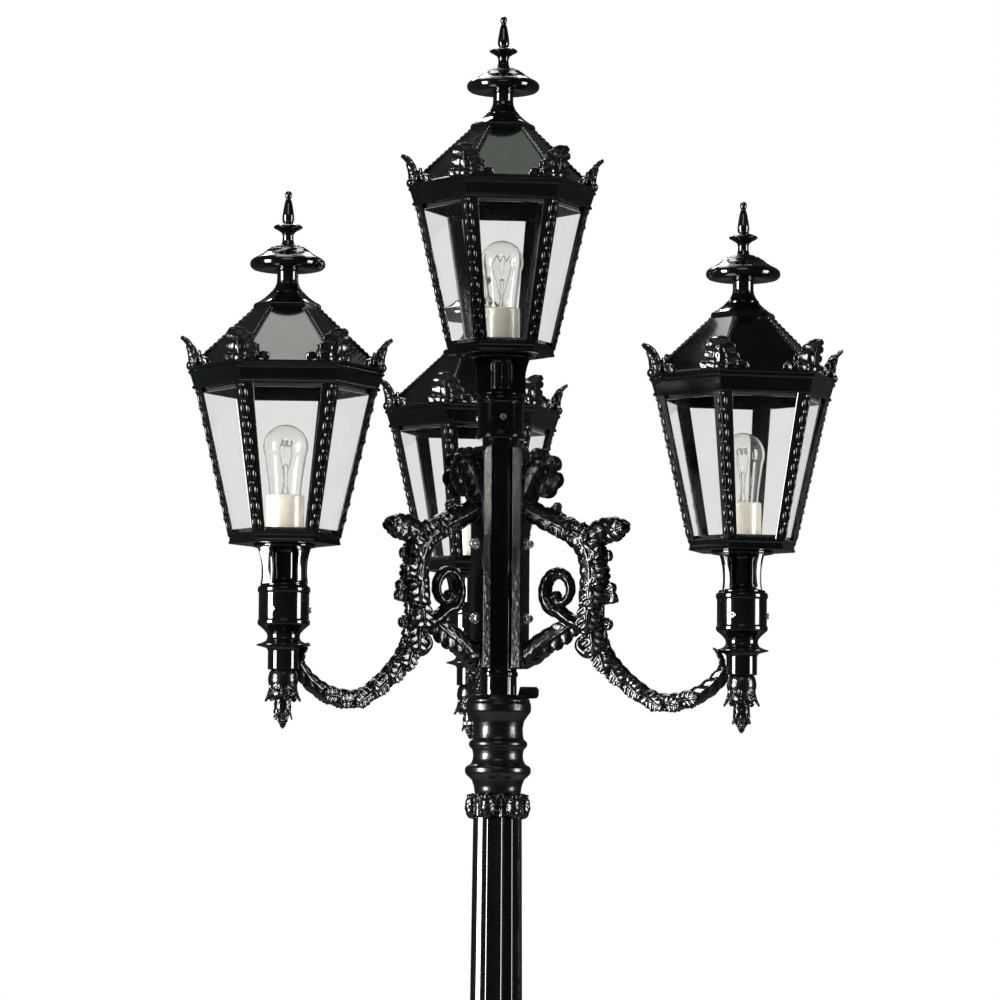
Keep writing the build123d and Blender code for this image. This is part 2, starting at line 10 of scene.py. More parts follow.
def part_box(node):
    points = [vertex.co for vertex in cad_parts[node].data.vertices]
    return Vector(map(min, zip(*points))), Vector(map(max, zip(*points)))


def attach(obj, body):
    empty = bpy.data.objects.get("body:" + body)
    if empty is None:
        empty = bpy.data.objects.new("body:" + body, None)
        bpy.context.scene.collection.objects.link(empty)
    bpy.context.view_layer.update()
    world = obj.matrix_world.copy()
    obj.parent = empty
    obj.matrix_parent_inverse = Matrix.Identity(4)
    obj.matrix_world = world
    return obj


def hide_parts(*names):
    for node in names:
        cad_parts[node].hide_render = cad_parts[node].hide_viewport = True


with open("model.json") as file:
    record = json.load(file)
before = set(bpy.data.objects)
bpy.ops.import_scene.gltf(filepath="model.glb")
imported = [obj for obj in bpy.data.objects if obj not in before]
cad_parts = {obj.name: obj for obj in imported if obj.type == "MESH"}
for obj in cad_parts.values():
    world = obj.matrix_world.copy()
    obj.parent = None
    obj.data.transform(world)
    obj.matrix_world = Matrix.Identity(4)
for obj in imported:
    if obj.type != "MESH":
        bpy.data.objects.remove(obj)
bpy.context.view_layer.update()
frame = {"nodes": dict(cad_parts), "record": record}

# A street lamp post: fluted column, three cast scroll arms and four hexagonal lanterns.
# Shapes are made in millimetres and become metres when their mesh is made. Lantern shapes stand
# on their own axis with the underside at z = 0 and the hinge side facing +X; arm shapes run
# along +X from the column axis, with z = 0 at the arm's lowest point.

MM = 0.001
NODES = frame["nodes"]
JOINTS = {j["name"]: j for j in frame["record"]["behaviour"]["joints"]}
LANTERNS = ("top", "left", "right", "back")
ARMS = ("left", "right", "back")
CORNERS = range(6)
COS30 = math.cos(math.radians(30))

# slots of the painted pieces
IRON = "painted_cast_iron"
ALUMINIUM = "painted_cast_aluminium"
SHEET = "painted_sheet"

BEVEL_ANGLE = 32            # edges sharper than this many degrees are softened
COARSE_GRAIN = 160          # unevenness of a casting, waves per metre
FINE_GRAIN = 420


def low(node):
    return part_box(node)[0].z / MM


def high(node):
    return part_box(node)[1].z / MM


# ---- shapes ---------------------------------------------------------------------------------
class Shape:
    """Points in millimetres and the faces between them."""

    def __init__(self, points=(), faces=()):
        self.points = np.asarray(points, dtype=float).reshape(-1, 3)
        self.faces = list(faces)

    def __add__(self, other):
        step = len(self.points)
        faces = [tuple(i + step for i in face) for face in other.faces]
        return Shape(np.vstack((self.points, other.points)), self.faces + faces)

    def moved(self, matrix):
        m = np.array(matrix)
        return Shape(self.points @ m[:3, :3].T + m[:3, 3], self.faces)


def together(shapes):
    whole = Shape()
    for shape in shapes:
        whole = whole + shape
    return whole


def shift(x=0.0, y=0.0, z=0.0):
    return Matrix.Translation((x, y, z))


def spin(degrees, axis="Z"):
    return Matrix.Rotation(math.radians(degrees), 4, axis)


def around(shape, count, start=0.0):
    return together(shape.moved(spin(start + 360.0 * k / count)) for k in range(count))


def facing(origin, up, face):
    """Puts a shape's own +Z along up and its +X along face, with its origin at origin."""
    z = Vector(up).normalized()
    y = z.cross(Vector(face)).normalized()
    x = y.cross(z)
    m = Matrix((x, y, z)).transposed().to_4x4()
    m.translation = Vector(origin)
    return m


def softened(outline, radius, steps=4, loop=False):
    """The outline with its corners rounded."""
    count = len(outline)
    result = []
    for i, point in enumerate(outline):
        if not loop and i in (0, count - 1):
            result.append(point)
            continue
        here, before, after = (Vector(p) for p in (point, outline[i - 1], outline[(i + 1) % count]))
        to_before, to_after = before - here, after - here
        cut = min(radius, 0.45 * to_before.length, 0.45 * to_after.length)
        a, b = here + to_before.normalized() * cut, here + to_after.normalized() * cut
        for k in range(steps + 1):
            t = k / steps
            p = a * (1 - t) ** 2 + here * (2 * t * (1 - t)) + b * t ** 2
            result.append((p.x, p.y))
    return result


def turned(outline, steps=72, start=0.0, loop=False, scale=None):
    """Turns an outline of (radius, height) about Z. A loop outline closes on itself.
    scale(angle, height) is a factor on the radius."""
    angles = np.radians(start) + np.arange(steps) * 2 * math.pi / steps
    points, rings = [], []
    for radius, z in outline:
        if radius <= 0:
            rings.append([len(points)] * steps)
            points.append((0, 0, z))
            continue
        rings.append(range(len(points), len(points) + steps))
        for a in angles:
            r = radius * scale(a, z) if scale else radius
            points.append((r * math.cos(a), r * math.sin(a), z))
    if loop:
        rings.append(rings[0])
    faces = []
    for one, two in zip(rings, rings[1:]):
        for k in range(steps):
            n = (k + 1) % steps
            corner = [one[k], one[n], two[n], two[k]]
            face = tuple(dict.fromkeys(corner))
            if len(face) > 2:
                faces.append(face)
    return Shape(points, faces)


def lathed(outline, radius, steps=96):
    """Rounds the corners of an outline and turns it."""
    return turned(softened(outline, radius), steps)


def ball(radius, centre=(0, 0, 0), stretch=(1, 1, 1), steps=10):
    rows = [math.pi * (k / (steps // 2) - 0.5) for k in range(steps // 2 + 1)]
    outline = [(radius * math.cos(a), radius * math.sin(a)) for a in rows]
    outline[0], outline[-1] = (0, -radius), (0, radius)
    return turned(outline, steps).moved(Matrix.Diagonal((*stretch, 1))).moved(shift(*centre))


def prism(first, last):
    """A closed solid between two matching outlines of (x, y, z) points."""
    n = len(first)
    faces = [tuple(range(n)), tuple(range(2 * n - 1, n - 1, -1))]
    faces += [(k, (k + 1) % n, n + (k + 1) % n, n + k) for k in range(n)]
    return Shape([*first, *last], faces)


def slab(outline, thickness):
    """An outline of (x, z) points made thickness deep about the plane y = 0."""
    return prism(*([(x, side * thickness / 2, z) for x, z in outline] for side in (-1, 1)))


def curve(points, per=8):
    """A smooth line through points of any number of columns."""
    p = np.asarray(points, dtype=float)
    p = np.vstack((2 * p[0] - p[1], p, 2 * p[-1] - p[-2]))
    t = np.linspace(0, 1, per, endpoint=False)[:, None]
    parts = []
    for a, b, c, d in zip(p, p[1:], p[2:], p[3:]):
        parts.append(0.5 * (2 * b + (c - a) * t + (2 * a - 5 * b + 4 * c - d) * t ** 2
                            + (3 * b - a - 3 * c + d) * t ** 3))
    return np.vstack(parts + [p[-2:-1]])


def flat_path(points, per=8):
    """A smooth path in the plane y = 0 through (x, z, half width) points."""
    line = curve(points, per)
    path = np.column_stack((line[:, 0], np.zeros(len(line)), line[:, 1]))
    return path, line[:, 2]


def directions(path):
    tangent = np.gradient(path, axis=0)
    return tangent / np.linalg.norm(tangent, axis=1)[:, None]


def swept(path, radii, steps=20, flat=1.0, relief=None):
    """A tube along a path. flat scales its width along Y; relief(run, angle) adds to its radius."""
    tangent = directions(path)
    run = np.concatenate(([0], np.cumsum(np.linalg.norm(np.diff(path, axis=0), axis=1))))
    points, faces = [], []
    across = np.array((0.0, 1.0, 0.0))
    for i, centre in enumerate(path):
        across = across - tangent[i] * np.dot(across, tangent[i])
        across = across / np.linalg.norm(across)
        other = np.cross(tangent[i], across)
        for k in range(steps):
            a = 2 * math.pi * k / steps
            r = radii[i] + (relief(run[i], a) if relief else 0)
            points.append(centre + r * (math.cos(a) * flat * across + math.sin(a) * other))
    for i in range(len(path) - 1):
        for k in range(steps):
            n = (k + 1) % steps
            faces.append((i * steps + k, i * steps + n, (i + 1) * steps + n, (i + 1) * steps + k))
    last = (len(path) - 1) * steps
    faces.append(tuple(range(steps)))
    faces.append(tuple(range(last + steps - 1, last - 1, -1)))
    return Shape(points, faces)


def leaf(length, width, lobes=4, bow=50, fold=0.12, thick=3.2, relief=2.2, notch=0.4, blunt=0.7,
         sweep=0.5, rows=34, columns=19):
    """An acanthus leaf that stands up from the origin and faces +X. It bows forward by bow degrees
    towards its tip; its edges fold back; each side has lobes between notches and a raised vein."""
    u = np.linspace(0, 1, rows)
    v = np.linspace(-1, 1, columns)
    bend = np.radians(bow) * u ** 1.8
    step = length / (rows - 1)
    mid_x = np.concatenate(([0], np.cumsum(np.sin(bend[:-1]) * step)))
    mid_z = np.concatenate(([0], np.cumsum(np.cos(bend[:-1]) * step)))
    phase = u * lobes
    part = phase - np.floor(phase)
    envelope = np.sin(np.pi * (0.17 + 0.83 * u) ** 0.9) ** blunt
    gap = np.exp(-(part / 0.17) ** 2) + np.exp(-((1 - part) / 0.1) ** 2)
    gap[u < 0.5 / lobes] = 0
    half = width / 2 * np.maximum(envelope * (1 - notch * gap), 0.03)
    vein = np.exp(-(v / 0.12) ** 2)
    swell = np.sin(np.pi * part)[:, None] * np.abs(v)[None, :] ** 0.7
    taper = (1 - 0.55 * u)[:, None]
    lift = relief * taper * (1.1 * vein[None, :] + swell) - fold * width * (v ** 2)[None, :] * taper
    slant = sweep * half[:, None] * np.abs(v)[None, :]
    front = np.empty((rows, columns, 3))
    front[..., 0] = mid_x[:, None] + np.cos(bend)[:, None] * lift + np.sin(bend)[:, None] * slant
    front[..., 1] = half[:, None] * v[None, :]
    front[..., 2] = mid_z[:, None] - np.sin(bend)[:, None] * lift + np.cos(bend)[:, None] * slant
    back = front.copy()
    depth = thick * (1 - 0.35 * u)[:, None]
    back[..., 0] -= np.cos(bend)[:, None] * depth
    back[..., 2] += np.sin(bend)[:, None] * depth
    count = rows * columns
    grid = np.arange(count).reshape(rows, columns)
    faces = []
    for i in range(rows - 1):
        for k in range(columns - 1):
            a, b, c, d = grid[i, k], grid[i, k + 1], grid[i + 1, k + 1], grid[i + 1, k]
            faces += [(a, b, c, d), (d + count, c + count, b + count, a + count)]
    rim = list(grid[0, :]) + list(grid[1:, -1]) + list(grid[-1, -2::-1]) + list(grid[-2:0:-1, 0])
    for a, b in zip(rim, rim[1:] + rim[:1]):
        faces.append((a, a + count, b + count, b))
    return Shape(np.vstack((front.reshape(-1, 3), back.reshape(-1, 3))), faces)


# ---- meshes ---------------------------------------------------------------------------------
def linked(name, data):
    """A new object in the scene."""
    obj = bpy.data.objects.new(name, data)
    bpy.context.scene.collection.objects.link(obj)
    return obj


def raw_mesh(shape, name):
    mesh = bpy.data.meshes.new(name)
    mesh.from_pydata((shape.points * MM).tolist(), [], [tuple(int(i) for i in f) for f in shape.faces])
    tool = bmesh.new()
    tool.from_mesh(mesh)
    bmesh.ops.recalc_face_normals(tool, faces=tool.faces)
    tool.to_mesh(mesh)
    tool.free()
    return mesh


def applied(mesh, add_modifiers):
    """A new mesh with the modifiers that add_modifiers gives a holder of this one."""
    holder = linked("holder", mesh)
    add_modifiers(holder)
    bpy.context.view_layer.update()
    graph = bpy.context.evaluated_depsgraph_get()
    result = bpy.data.meshes.new_from_object(holder.evaluated_get(graph))
    bpy.data.objects.remove(holder)
    bpy.data.meshes.remove(mesh)
    return result


def smooth_shaded(mesh, sharp=35):
    mesh.polygons.foreach_set("use_smooth", [True] * len(mesh.polygons))
    mesh.set_sharp_from_angle(angle=math.radians(sharp))
    return mesh


def add_bevel(holder, width):
    tool = holder.modifiers.new("edges", "BEVEL")
    tool.width = width * MM
    tool.segments = 2
    tool.limit_method = "ANGLE"
    tool.angle_limit = math.radians(BEVEL_ANGLE)
    return tool


def plain(shape, name, bevel=0.0, sharp=35):
    mesh = raw_mesh(shape, name)
    if bevel:
        mesh = applied(mesh, lambda holder: add_bevel(holder, bevel))
    return smooth_shaded(mesh, sharp)


def cast(shape, name, voxel, grain=0.35):
    """Fuses overlapping shapes into one skin and gives it the slight unevenness of a sand casting."""
    def add(holder):
        tool = holder.modifiers.new("fuse", "REMESH")
        tool.mode = "VOXEL"
        tool.voxel_size = voxel * MM
        ease = holder.modifiers.new("ease", "SMOOTH")
        ease.factor = 0.5
        ease.iterations = 1
    mesh = applied(raw_mesh(shape, name), add)
    places = np.empty(3 * len(mesh.vertices))
    normals = np.empty(3 * len(mesh.vertices))
    mesh.vertices.foreach_get("co", places)
    mesh.vertex_normals.foreach_get("vector", normals)
    places, normals = places.reshape(-1, 3), normals.reshape(-1, 3)
    amount = [noise.noise(p) + 0.6 * noise.noise(q)
              for p, q in zip(places * COARSE_GRAIN, places * FINE_GRAIN)]
    places = places + normals * np.array(amount)[:, None] * grain * MM
    mesh.vertices.foreach_set("co", places.reshape(-1))
    mesh.update()
    return smooth_shaded(mesh, 180)


# ---- materials ------------------------------------------------------------------------------
class Nodes:
    """A material's node tree, with its one Principled shader."""

    def __init__(self, name):
        self.material = bpy.data.materials.new(name)
        self.material.use_nodes = True
        self.tree = self.material.node_tree
        self.shader = self.tree.nodes["Principled BSDF"]
        self.output = self.tree.nodes["Material Output"]
        self.place = self.new("ShaderNodeTexCoord").outputs["Object"]

    def new(self, kind, inputs=None, **values):
        node = self.tree.nodes.new(kind)
        for key, value in values.items():
            setattr(node, key, value)
        for key, value in (inputs or {}).items():
            node.inputs[key].default_value = value
        return node

    def link(self, source, target):
        self.tree.links.new(source, target)

    def set(self, **values):
        for name, value in values.items():
            self.shader.inputs[name.replace("_", " ")].default_value = value

    def noise(self, scale, detail=3.0, roughness=0.55):
        node = self.new("ShaderNodeTexNoise", {"Scale": scale, "Detail": detail, "Roughness": roughness})
        self.link(self.place, node.inputs["Vector"])
        return node.outputs["Fac"]

    def ramp(self, source, stops):
        node = self.new("ShaderNodeValToRGB")
        while len(node.color_ramp.elements) < len(stops):
            node.color_ramp.elements.new(0.5)
        for element, (at, value) in zip(node.color_ramp.elements, stops):
            element.position = at
            element.color = value if len(value) == 4 else (*value, 1)
        self.link(source, node.inputs["Fac"])
        return node.outputs["Color"]

    def colour(self, source, *stops):
        self.link(self.ramp(source, stops), self.shader.inputs["Base Color"])

    def ranged(self, source, low, high, start=0.3, end=0.7):
        limits = {"From Min": start, "From Max": end, "To Min": low, "To Max": high}
        node = self.new("ShaderNodeMapRange", limits)
        self.link(source, node.inputs["Value"])
        return node.outputs["Result"]

    def roughness(self, source, low, high, start=0.3, end=0.7):
        self.link(self.ranged(source, low, high, start, end), self.shader.inputs["Roughness"])

    def blend(self, share, first, second):
        """A mix of two shaders. share is a number, or an output that gives second's share."""
        node = self.new("ShaderNodeMixShader")
        if isinstance(share, float):
            node.inputs["Fac"].default_value = share
        else:
            self.link(share, node.inputs["Fac"])
        self.link(first, node.inputs[1])
        self.link(second, node.inputs[2])
        return node.outputs["Shader"]

    def bump(self, *layers):
        """Each layer is (height, distance in millimetres, strength)."""
        normal = None
        for height, distance, strength in layers:
            node = self.new("ShaderNodeBump", {"Distance": distance * MM, "Strength": strength})
            self.link(height, node.inputs["Height"])
            if normal is not None:
                self.link(normal, node.inputs["Normal"])
            normal = node.outputs["Normal"]
        self.link(normal, self.shader.inputs["Normal"])


def gloss_paint(name, grain, orange_peel, rough, coat_rough):
    """Deep green-black enamel: dust in the hollows, orange peel and the metal's grain."""
    m = Nodes(name)
    cloud = m.noise(9, 5)
    base = m.ramp(cloud, ((0.3, (0.0007, 0.0010, 0.0008)), (0.7, (0.0016, 0.0022, 0.0017))))
    shape = m.new("ShaderNodeNewGeometry").outputs["Pointiness"]
    dust = m.ramp(shape, ((0.44, (1, 1, 1)), (0.495, (0, 0, 0))))
    mixed = m.new("ShaderNodeMix", data_type="RGBA")
    mixed.inputs["B"].default_value = (0.010, 0.0105, 0.009, 1)
    speck = m.ranged(m.noise(70, 4), 0.0, 0.55, 0.35, 0.75)
    share = m.new("ShaderNodeMath", operation="MULTIPLY")
    m.link(dust, share.inputs[0])
    m.link(speck, share.inputs[1])
    m.link(share.outputs[0], mixed.inputs["Factor"])
    m.link(base, mixed.inputs["A"])
    m.link(mixed.outputs["Result"], m.shader.inputs["Base Color"])
    m.roughness(m.noise(24, 5), rough - 0.05, rough + 0.09)
    m.set(Coat_Weight=0.8, Coat_Roughness=coat_rough, Coat_IOR=1.5, Specular_IOR_Level=0.06)
    m.bump((m.noise(620, 3), 0.25, grain), (m.noise(210, 2), 0.3, orange_peel))
    return m.material


def clear_glass(name, tint, shine, bend, pearl):
    """Clear glass with faint smears and a share of white pearl coating. Light passes straight through."""
    m = Nodes(name)
    smear = m.noise(14, 6, 0.7)
    m.colour(smear, (0.35, tint), (0.75, tuple(0.97 * c for c in tint)))
    m.roughness(smear, shine, shine + 0.035, 0.45, 0.8)
    m.set(Transmission_Weight=1.0, IOR=bend)
    m.bump((m.noise(6, 1), 1.2, 0.12))
    through = m.new("ShaderNodeBsdfTransparent", {"Color": (*tint, 1)})
    coat = m.new("ShaderNodeBsdfDiffuse", {"Color": (0.93, 0.91, 0.88, 1)})
    coated = m.blend(pearl, m.shader.outputs["BSDF"], coat.outputs["BSDF"])
    shadow = m.new("ShaderNodeLightPath").outputs["Is Shadow Ray"]
    m.link(m.blend(shadow, coated, through.outputs["BSDF"]), m.output.inputs["Surface"])
    return m.material


def glazed_ceramic(name):
    """Cream lamp holder sleeve with a soft glaze and a few brown heat marks."""
    m = Nodes(name)
    m.colour(m.noise(30, 5), (0.3, (0.235, 0.215, 0.18)), (0.72, (0.28, 0.26, 0.225)))
    m.roughness(m.noise(80, 4), 0.26, 0.42)
    m.set(Coat_Weight=0.3, Coat_Roughness=0.1)
    m.bump((m.noise(300, 3), 0.2, 0.25))
    return m.material


def bare_metal(name, dark, light, rough, scale):
    m = Nodes(name)
    m.colour(m.noise(scale, 5), (0.3, dark), (0.7, light))
    m.roughness(m.noise(scale * 4, 4), rough - 0.07, rough + 0.1)
    m.set(Metallic=1.0)
    m.bump((m.noise(900, 3), 0.15, 0.3))
    return m.material


def moulded_plastic(name):
    m = Nodes(name)
    m.colour(m.noise(25, 4), (0.3, (0.27, 0.28, 0.29)), (0.7, (0.33, 0.34, 0.35)))
    m.roughness(m.noise(300, 4), 0.42, 0.6)
    m.bump((m.noise(1500, 2), 0.1, 0.5))
    return m.material


CAST_PAINT = gloss_paint("cast_paint", 0.2, 0.2, 0.3, 0.17)
SMOOTH_PAINT = gloss_paint("smooth_paint", 0.02, 0.035, 0.13, 0.06)
SHEET_PAINT = gloss_paint("sheet_paint", 0.05, 0.08, 0.16, 0.07)
CAPITAL_PAINT = gloss_paint("capital_paint", 0.2, 0.3, 0.3, 0.22)
PANE_GLASS = clear_glass("pane_glass", (0.87, 0.87, 0.86), 0.01, 1.12, 0.0)
BULB_GLASS = clear_glass("bulb_glass", (0.97, 0.965, 0.95), 0.0, 1.38, 0.008)
CERAMIC = glazed_ceramic("lamp_ceramic")
STEEL = bare_metal("bolt_steel", (0.52, 0.52, 0.53), (0.68, 0.68, 0.69), 0.24, 60)
BRASS = bare_metal("lock_brass", (0.50, 0.36, 0.14), (0.62, 0.47, 0.22), 0.3, 50)
TUNGSTEN = bare_metal("filament_wire", (0.10, 0.10, 0.11), (0.17, 0.17, 0.18), 0.35, 90)
PLASTIC = moulded_plastic("terminal_plastic")


# ---- putting pieces on the frame -------------------------------------------------------------
def put(mesh, name, body, material, node=None, matrix=None):
    """Makes an object of the mesh, or of a copy of it at matrix, that rides on body."""
    if matrix is not None:
        mesh = mesh.copy()
        mesh.transform(matrix)
    obj = linked(name, mesh)
    mesh.materials.clear()
    mesh.materials.append(material)
    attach(obj, body)
    if node:
        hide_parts(node)
    return obj


def keep(node, material, bevel=0.0):
    """A CAD node that stays as it is, with its own material and softened edges."""
    obj = NODES[node]
    if not obj.material_slots:
        obj.data.materials.append(material)
    for place in obj.material_slots:
        place.material = material
    if bevel:
        add_bevel(obj, bevel).harden_normals = True


# ---- column ---------------------------------------------------------------------------------
FLUTES = 12
FLUTE_STOP = 70.0           # length of a flute's run-out at its foot
FLUTE_DEPTH = 0.055         # share of the shaft's radius
FLUTE_START = 34.0          # above the foot of the shaft
SHAFT_FOOT_R = 74.0
SHAFT_LOW_R = 66.0
SHAFT_HIGH_R = 51.0
SHAFT_NECK_R = 44.0
PEDESTAL_R = 150.0          # corner radius
DOOR_SIDE = -90             # the way the service door faces


def fluted_shaft():
    bottom, top = low("fluted_shaft"), high("fluted_shaft")
    foot_r, r0, r1 = SHAFT_FOOT_R, SHAFT_LOW_R, SHAFT_HIGH_R
    start, end = bottom + FLUTE_START, low("leaf_collar")

    def scale(angle, z):
        if not start < z < end + 1:
            return 1.0
        phase = angle * FLUTES / (2 * math.pi)
        across = abs(2 * (phase - math.floor(phase)) - 1) / 0.9
        if across >= 1:
            return 1.0
        stop = min(1.0, (z - start) / FLUTE_STOP) ** 0.5
        return 1.0 - FLUTE_DEPTH * stop * (1 - across ** 2)

    outline = [(0, bottom), (foot_r, bottom), (foot_r + 1, bottom + 8), (foot_r, bottom + 16),
               (r0 + 2, bottom + 22), (r0 + 1.5, bottom + 30), (r0, start)]
    heights = [start + FLUTE_STOP * k / 6 for k in range(1, 7)]
    heights += list(np.linspace(start + FLUTE_STOP, end, 24)[1:])
    outline += [(r0 + (r1 - r0) * (z - start) / (end - start), z) for z in heights]
    outline += [(SHAFT_NECK_R, end), (SHAFT_NECK_R, top), (0, top)]
    return turned(outline, FLUTES * 20, scale=scale)


def leaf_ring():
    """Six thick curled leaves round the top of the shaft, with a slimmer one between each two."""
    z0, z1 = low("leaf_collar"), high("leaf_collar")
    tall = z1 - z0
    ring = [(40, z0 + 4), (52, z0 + 4), (52.5, z0 + 8), (51, z1 - 6), (49, z1), (40, z1)]
    lobe = limb([(48, z0, 5), (53, z0 + 0.12 * tall, 10), (55.5, z0 + 0.33 * tall, 12.5),
                 (56, z0 + 0.6 * tall, 12), (54, z0 + 0.84 * tall, 9), (49, z0 + tall, 4)], 24, 1.15,
                chevrons(13, 1.8))
    shape = turned(ring, 96, loop=True) + around(lobe, 6)
    curl = leaf(tall * 0.9, 30, lobes=4, bow=34, fold=0.16, thick=5, relief=2.6, notch=0.25)
    shape = shape + around(curl.moved(facing((62, 0, z0 + 4), (-0.12, 0, 1), (1, 0, 0))), 6)
    between = leaf(tall * 1.05, 26, lobes=4, bow=14, fold=0.1, thick=5, relief=2.4, notch=0.25)
    return shape + around(between.moved(facing((52.5, 0, z0), (-0.02, 0, 1), (1, 0, 0))), 6, 30)


def capital():
    """Outline heights stand on the capital's own foot."""
    tall = 207
    outline = [
        (0, 0), (47, 0), (49, 6), (50, 16), (55, 30), (66, 40), (69, 45), (69, 54), (66, 58), (57, 63),
        (53, 72), (52, 82), (54, 93), (60, 99), (61.5, 104), (60, 110), (54, 114), (52, 124),
        (51.5, 138), (54, 152), (62, 164), (67, 170), (68.5, 175), (68.5, 188), (66, 192), (66, 197),
        (62, 201), (58, tall), (0, tall),
    ]
    lug = slab([(40, tall - 8), (80, tall - 6), (84, tall), (84, tall + 12), (79, tall + 18),
                (46, tall + 18)], 22)
    return (lathed(outline, 3) + lug).moved(shift(0, 0, low("capital")))


def upper_tube():
    z0, z1 = low("upper_tube"), high("upper_tube")
    ring = high("capital") + 24
    outline = [(0, z0), (38, z0), (38, ring - 4), (40.5, ring - 2), (40.5, ring + 5), (38, ring + 7),
               (38, z1), (0, z1)]
    return lathed(outline, 1.2)


def top_socket():
    z0, z1 = low("top_socket"), high("top_socket")
    outline = [(0, z0), (49, z0), (51.5, z0 + 3), (51.5, z0 + 12), (48.6, z0 + 15), (48.6, z1 - 17),
               (51.5, z1 - 14), (51.5, z1 - 5), (48, z1), (0, z1)]
    return lathed(outline, 1.6)


def pedestal_trim():
    """Hexagonal mouldings and the framed panels of the faces without a door."""
    box_low = low("base_pedestal")
    bands = []
    for z, r, size in ((box_low + 118, 152.5, 9), (box_low + 664, 152.5, 7), (box_low + 716, 173, 6)):
        band = [(r - 8, z - size), (r, z - size), (r + size * 0.7, z - size * 0.35),
                (r + size * 0.7, z + size * 0.35), (r, z + size), (r - 8, z + size)]
        bands.append(turned(softened(band, 3, loop=True), 6, 0, loop=True))
    face = PEDESTAL_R * COS30
    half, z0, z1, wide = 52, box_low + 176, box_low + 592, 9
    sides = []
    for y0, y1, a, b in (
            (-half, -half + wide, z0, z1), (half - wide, half, z0, z1),
            (-half + wide, half - wide, z0, z0 + wide), (-half + wide, half - wide, z1 - wide, z1)):
        side = slab([(face - 1, a), (face + 4, a), (face + 4, b), (face - 1, b)], y1 - y0)
        sides.append(side.moved(shift(0, (y0 + y1) / 2, 0)))
    panel = together(sides)
    frames = together(panel.moved(spin(DOOR_SIDE + 60 * k)) for k in range(1, 6))
    return together(bands) + frames


def build_column():
    # name, mesh, material, slot, replaced node
    pieces = (
        ("fluted_shaft_metal", plain(fluted_shaft(), "shaft"), SMOOTH_PAINT, IRON, "fluted_shaft"),
        ("leaf_collar_cast", cast(leaf_ring(), "leaf_ring", 1.4), CAST_PAINT, ALUMINIUM, "leaf_collar"),
        ("capital_cast", plain(capital(), "capital", 1.0, 40), CAPITAL_PAINT, ALUMINIUM, "capital"),
        ("upper_tube_metal", plain(upper_tube(), "tube", 0, 50), SMOOTH_PAINT, ALUMINIUM, "upper_tube"),
        ("top_socket_cast", plain(top_socket(), "collar", 0, 50), SMOOTH_PAINT, ALUMINIUM, "top_socket"),
        ("pedestal_trim", plain(pedestal_trim(), "trim", 1.2, 30), SMOOTH_PAINT, IRON, None),
    )
    for name, mesh, material, slot, node in pieces:
        put(mesh, name, "post", material, node)
    for node, material, bevel in (
            ("base_pedestal", SMOOTH_PAINT, 1.5), ("service_door", SMOOTH_PAINT, 1.0),
            ("door_lock", BRASS, 0.4), ("door_hinge_pins", STEEL, 0.0),
            ("terminal_box", PLASTIC, 1.0), ("roof_hinge_pins", STEEL, 0.0)):
        keep(node, material, bevel)


# ---- arms -----------------------------------------------------------------------------------
# (distance from the column axis, height above the arm's lowest point, half width)
SCROLL = (
    (64, 424, 22), (112, 400, 25), (156, 380, 26), (196, 344, 27), (211, 292, 28), (209, 230, 28),
    (216, 168, 26), (238, 116, 23), (280, 69, 21), (334, 30, 19.5), (376, 19, 18.5), (434, 28, 18.5),
    (480, 54, 18), (509, 88, 16),
)
SCROLL_DEPTH = 0.74
BAR_IN, BAR_OUT, BAR_HALF = 36.0, 60.0, 22.0
BAR_FOOT, BAR_HEAD = 90.0, 556.0
VOLUTE_CENTRE = (134.0, 252.0)
TUBE_R = 38.2               # the arm is trimmed to these two radii
SOCKET_NECK_R = 33.0
ARM_COLLAR_R = 51.0         # set screws stand on these two radii
TOP_COLLAR_R = 48.4
SCREW_DROP = 48.0           # below a socket's top face
SCREW_ANGLES = (30, 150, 270)
BOLT_HEIGHTS = (2925.0, 3081.0)     # above the ground


def chevrons(pitch, depth, slant=0.8):
    """Relief like the lobes of a long acanthus leaf: slanted ribs both sides of a raised vein."""
    def height(run, angle):
        v = abs(math.sin(angle))
        wave = abs(math.sin(math.pi * (run / pitch + slant * v)))
        vein = math.exp(-(v / 0.16) ** 2)
        small = abs(math.sin(math.pi * 3 * (run / pitch + slant * v)))
        return depth * (wave ** 0.6 * (0.5 + 0.6 * v) + 0.22 * small * v + 0.7 * vein - 0.75)
    return height


def laid_leaves(path, radii, first, last, every, length, width):
    """Big leaves that overlap along both flanks of a path, with curled ones on its two edges."""
    tangent = directions(path)
    found = []
    for number, i in enumerate(range(first, last, every)):
        t, p = tangent[i], path[i]
        edge = np.cross(t, (0, 1, 0))
        size = radii[i] / 25.0
        for side in (-1, 1):
            flank = p + np.array((0, side * radii[i] * SCROLL_DEPTH * 0.78, 0))
            shape = leaf(length * size, width * size, 5, bow=20, fold=0.08, thick=6, relief=4.2, notch=0.28)
            found.append(shape.moved(facing(flank, t, (0, side, 0))))
        side = 1 if number % 2 else -1
        lip = p + side * edge * radii[i] * 0.66
        shape = leaf(length * 0.66 * size, width * 0.8 * size, 3, bow=36, fold=0.2, thick=7, relief=3,
                     notch=0.2)
        found.append(shape.moved(facing(lip, t, side * edge)))
    return together(found)


def fan(origin, angles, length, width, bow=30, lobes=4, thick=6, spread=5):
    """Leaves in the arm's plane, back to back, pointing at the given angles above +X."""
    found = []
    for angle in angles:
        a = math.radians(angle)
        up = (math.cos(a), 0, math.sin(a))
        for side in (-1, 1):
            start = (origin[0], side * spread, origin[1])
            blade = leaf(length, width, lobes, bow, 0.1, thick, 3.2, notch=0.24)
            found.append(blade.moved(facing(start, up, (0, side, 0))))
    return together(found)


